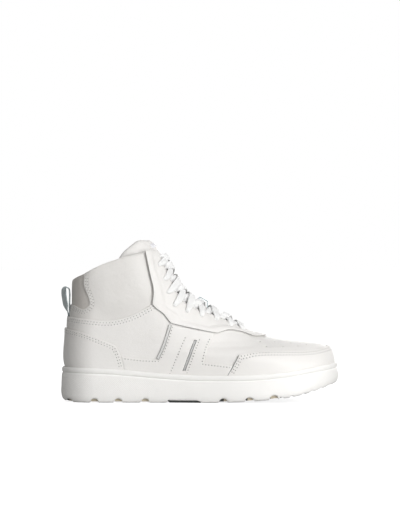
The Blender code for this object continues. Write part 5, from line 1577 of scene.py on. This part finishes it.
def strand(start, end, side, over, last=False):
    """Control points from the top of one eyelet to the underside of one on the other side. Each is phi, t,
    depth, half width and half thickness."""
    (phi_a, t_a), (phi_b, t_b) = start, end
    span = (phi_a + phi_b) * mm_per_phi((t_a + t_b) / 2)
    edge_a = float(throat_phi(t_a)) * 0.98
    edge_b = float(throat_phi(t_b))
    crown = float(tongue_bulge((t_a + t_b) / 2)) - 5.2
    if over:
        middle = ((-0.6, crown + 2.4), (0, crown + 4.0), (0.42, crown + 3.1), (0.56, crown + 2.1))
        end = ((0.94, UNDER_LEVEL), (1.2, UNDER_LEVEL))
    else:
        middle = ((-0.6, 1.7), (0, crown + 1.7), (0.22, crown + 1.35), (0.55, -0.6))
        end = ((0.95, UNDER_LEVEL), (1.2, UNDER_LEVEL))
    profile = smooth_line(((-1.0, 1.9), *middle, *end))
    lead = EYELET_LEAD / span
    halfway = (lead + (phi_a - edge_a) / (phi_a + phi_b)) / 2
    rows = [
        (phi_a - (phi_a + phi_b) * share, t_a + (t_b - t_a) * share, *shape)
        for share, shape in ((lead, (OVER_LEVEL, 2.7, 1.0)), (halfway, (OVER_LEVEL + 0.45, 3.5, 1.05)))
    ]
    for r in STRAND_STEPS + ((1.12,) if last else ()):
        phi = -r * (edge_a if r < 0 else edge_b)
        share = (phi_a - phi) / (phi_a + phi_b)
        grow = float(ramp((min(share, 1 - share) * span - 1.5) / 4.0))
        width = 2.1 + (LACE_HALF_WIDTH - 2.1) * grow
        thickness = 0.9 + (LACE_HALF_THICKNESS - 0.9) * grow
        rows.append((phi, t_a + (t_b - t_a) * share, float(profile(r)), width, thickness))
    if not last:
        rows.append((-(phi_b - (phi_a + phi_b) * lead), t_b - (t_b - t_a) * lead, UNDER_LEVEL, 1.9, 0.85))
    rise = crossing_rise((phi_a + phi_b) / 2, (t_a + t_b) / 2) * (TOP_RISE_SHARE if last else 1)
    reach = [phi / (phi_a if phi > 0 else phi_b) for phi, *_ in rows]
    return [(side * phi, t + rise * max(0, 1 - r * r), *shape) for (phi, t, *shape), r in zip(rows, reach)]


def turn_up(phi, t, side):
    """The lace rounding an eyelet's edge, from under the eyestay to over it."""
    outward = 0.7 / float(mm_per_phi(t))
    middle = (UNDER_LEVEL + OVER_LEVEL) / 2
    steps = ((-0.1, -1.62), (1, 0), (-0.1, 1.62))
    return [(side * (phi + out * outward), t, middle + rise, *LACE_AT_EYELET) for out, rise in steps]


def lace_half(side):
    """From the lowest eyelet on one side, zigzag to the top, and the end tucked under the other eyestay."""
    rows = turn_up(EYE_PHI[8], EYE_T[8], side)
    for k in range(8, 0, -1):
        over = (side > 0) == (k % 2 == 0)
        rows += strand((EYE_PHI[k], EYE_T[k]), (EYE_PHI[k - 1], EYE_T[k - 1]), side, over)
        side = -side
        rows += turn_up(EYE_PHI[k - 1], EYE_T[k - 1], side)
    rows += strand((EYE_PHI[0], EYE_T[0]), (EYE_PHI[0], EYE_T[0] + 5.5), side, side < 0, last=True)
    return rows


def build_laces():
    """One flat woven lace, criss-crossed through nine pairs of eyelets."""
    phi, t = EYE_PHI[8], EYE_T[8]
    inner = phi - EYELET_LEAD / float(mm_per_phi(t))
    bar = [
        (side * share, t, UNDER_LEVEL + lift, 2.3, 0.75)
        for side, share, lift in (
            (-1, inner, -0.35), (-1, inner * 0.66, 0), (-1, inner * 0.33, 0), (1, 0, 0),
            (1, inner * 0.33, 0), (1, inner * 0.66, 0), (1, inner, -0.35),
        )
    ]
    rows = np.array(lace_half(-1)[::-1] + bar + lace_half(1))
    theta = math.pi - rows[:, 0]
    rows[:, 2] = np.maximum(rows[:, 2], tongue_outer(theta, rows[:, 1]) + 1.3)
    points = surface(theta, rows[:, 1]) + normals(theta, rows[:, 1]) * rows[:, 2, None]
    aside = surface(theta, rows[:, 1] + 0.5) - surface(theta, rows[:, 1] - 0.5)
    control = np.concatenate([points, aside, rows[:, 3:]], axis=1)
    gaps = np.maximum(np.linalg.norm(np.diff(points, axis=0), axis=1), 0.2)
    place = np.concatenate([[0], np.cumsum(gaps)])
    tangent = np.gradient(control, place, axis=0)
    found = []
    for i, gap in enumerate(gaps):
        u = np.linspace(0, 1, LACE_STEPS + 1)[:-1, None]
        found.append(eased(control[i], control[i + 1], tangent[i], tangent[i + 1], gap, u))
    fine = np.concatenate(found + [control[-1:]])
    lace = swept(
        "lace_band", fine[:, :3], fine[:, 3:6], fine[:, 6], fine[:, 7], MATERIALS["lace"],
        corners=16, flatness=0.6,
    )
    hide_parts("lace")


# --- the pull tab -----------------------------------------------------------------------------------------

PULL_TAB_LOOP = (  # side view, as (s, z)
    (8.4, 86.5), (7.9, 91), (7.1, 95.3), (5.6, 99.5), (4.4, 104.5), (3.4, 110.2), (2.7, 116.4), (3.2, 120.6),
    (5.6, 122.5), (8.0, 121.0), (8.9, 116.6), (8.9, 110.6), (8.8, 106.0), (8.7, 101.5), (9.1, 95), (9.6, 91),
    (9.8, 86.5),
)
PULL_TAB_HALF_WIDTH = 7.0
PULL_TAB_HALF_THICKNESS = 0.62
PULL_TAB_TWIST = 0.42  # how far its outer half turns its face to the outer side, in radians


def build_pull_tab():
    """A loop of webbing, sewn down under the quarter's top edge."""
    line = spline(PULL_TAB_LOOP, 0.8)
    path = np.stack([line[:, 0], np.full(len(line), SIDE_SHIFT), line[:, 1]], axis=-1)
    top = line[:, 1].argmax()
    index = np.arange(len(line))
    turn = PULL_TAB_TWIST * ramp((line[:, 1] - 93) / 12) * ramp((top + 3 - index) / 6)
    aside = np.stack([-np.sin(turn), np.cos(turn), np.zeros(len(turn))], axis=-1)
    loop = swept(
        "pull_loop", path, aside, PULL_TAB_HALF_WIDTH, PULL_TAB_HALF_THICKNESS, MATERIALS["webbing"],
        body=None, corners=20, flatness=0.35,
    )
    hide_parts("pull_tab", "pull_tab_anchor")
    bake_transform(loop)


# --- the studio -------------------------------------------------------------------------------------------

CAMERA_LENS = 160
FLOOR_SIZE = 60
STUDIO_FLOOR_Z = -0.0002  # metres; just below the sole, so that the two faces don't lie in one plane
CAMERA_PLACE = (0.0, -2.5, 0.152)
FLOOR_TO_CAMERA = (0.6, 0.6, 0.6)  # the floor is one colour to the camera and a darker one to the light
FLOOR_TO_LIGHT = (0.5, 0.5, 0.495)
CAMERA_GLOW = 0.84
SKY_LEVEL = 0.09
SKY_SIDES = (0.0, 0.67, 0.0)  # light from both ends of each axis
SKY_SLOPE = (0.09, -0.02, 0.0)  # and how much more of it comes from the far end
LAMPS = (  # place and watts
    ("low_front", (0.5, -0.75, 0.12), 7.0),
    ("high_front", (0.15, -0.6, 0.85), 1.7),
    ("low_rear", (0.3, 0.9, 0.25), 4.6),
)
LAMP_SIZE = 0.6
LAMP_TARGET = (0, 0, 0.07)


def floor_material():
    """The floor's colours, and the glow that makes it nearly white to the camera."""
    n = Nodes("pale_floor")
    seen = n.add("LightPath")
    shade = n.math("MULTIPLY_ADD", n.noise(n.place(), 0.01), 0.02, CAMERA_GLOW)
    glow = n.math("MULTIPLY", seen, shade)
    tint = n.blended(seen, colour(*FLOOR_TO_LIGHT), colour(*FLOOR_TO_CAMERA))
    white = colour(1, 1, 1)
    return n.finish(
        Base_Color=tint, Roughness=0.9, Specular_IOR_Level=0.0, Emission_Color=white, Emission_Strength=glow
    )


def build_sky():
    """A white backdrop to the camera, and to everything else a soft light from the sides."""
    world = bpy.data.worlds.new("studio")
    bpy.context.scene.world = world
    world.use_nodes = True
    tree = world.node_tree
    tree.nodes.clear()

    def add(kind, **settings):
        made = tree.nodes.new("ShaderNode" + kind)
        for key, value in settings.items():
            setattr(made, key, value)
        return made

    place, path = add("TexCoord"), add("LightPath")
    size = add("VectorMath", operation="ABSOLUTE")
    sides, slope = add("VectorMath", operation="DOT_PRODUCT"), add("VectorMath", operation="DOT_PRODUCT")
    sides.inputs[1].default_value = SKY_SIDES
    slope.inputs[1].default_value = SKY_SLOPE
    total, level = add("Math", operation="ADD"), add("Math", operation="ADD", use_clamp=True)
    level.inputs[1].default_value = SKY_LEVEL
    light, plain, mix, out = add("Background"), add("Background"), add("MixShader"), add("OutputWorld")
    for start, end in (
        (place.outputs["Generated"], size.inputs[0]), (size.outputs[0], sides.inputs[0]),
        (place.outputs["Generated"], slope.inputs[0]), (sides.outputs["Value"], total.inputs[0]),
        (slope.outputs["Value"], total.inputs[1]), (total.outputs[0], level.inputs[0]),
        (level.outputs[0], light.inputs["Strength"]), (path.outputs["Is Camera Ray"], mix.inputs[0]),
        (light.outputs[0], mix.inputs[1]), (plain.outputs[0], mix.inputs[2]), (mix.outputs[0], out.inputs[0]),
    ):
        tree.links.new(start, end)
    light.inputs["Color"].default_value = colour(1, 0.995, 0.985)
    plain.inputs["Color"].default_value = colour(1, 1, 1)


def build_studio():
    """A pale floor, the sky, three soft lamps, and the camera at the outer side."""
    bpy.ops.mesh.primitive_plane_add(size=FLOOR_SIZE, location=(0, 0, STUDIO_FLOOR_Z))
    floor = bpy.context.object
    floor.name = "floor"
    floor.data.materials.append(floor_material())
    build_sky()

    for name, place, watts in LAMPS:
        data = bpy.data.lights.new(name, "AREA")
        data.energy = watts
        data.size = LAMP_SIZE
        lamp = bpy.data.objects.new(name, data)
        lamp.location = place
        lamp.rotation_euler = (Vector(place) - Vector(LAMP_TARGET)).to_track_quat("Z", "Y").to_euler()
        bpy.context.scene.collection.objects.link(lamp)

    data = bpy.data.cameras.new("camera")
    data.lens = CAMERA_LENS
    data.sensor_width = 36
    camera = bpy.data.objects.new("camera", data)
    camera.location = CAMERA_PLACE
    camera.rotation_euler = (math.pi / 2, 0, 0)
    bpy.context.scene.collection.objects.link(camera)
    bpy.context.scene.camera = camera
    bpy.context.scene.view_settings.view_transform = "Standard"


build_outsole()
build_sidewall_texture()
build_footbed()
build_vamp()
build_quarters()
build_collar()
build_heel_overlay()
build_side_overlay()
build_toe_overlay()
build_eyestay()
build_lining()
build_tongue()
build_keeper()
build_laces()
build_pull_tab()
build_stitches()
for node, look in HIDDEN_NODES.items():
    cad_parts[node].material_slots[0].material = MATERIALS[look]
build_studio()
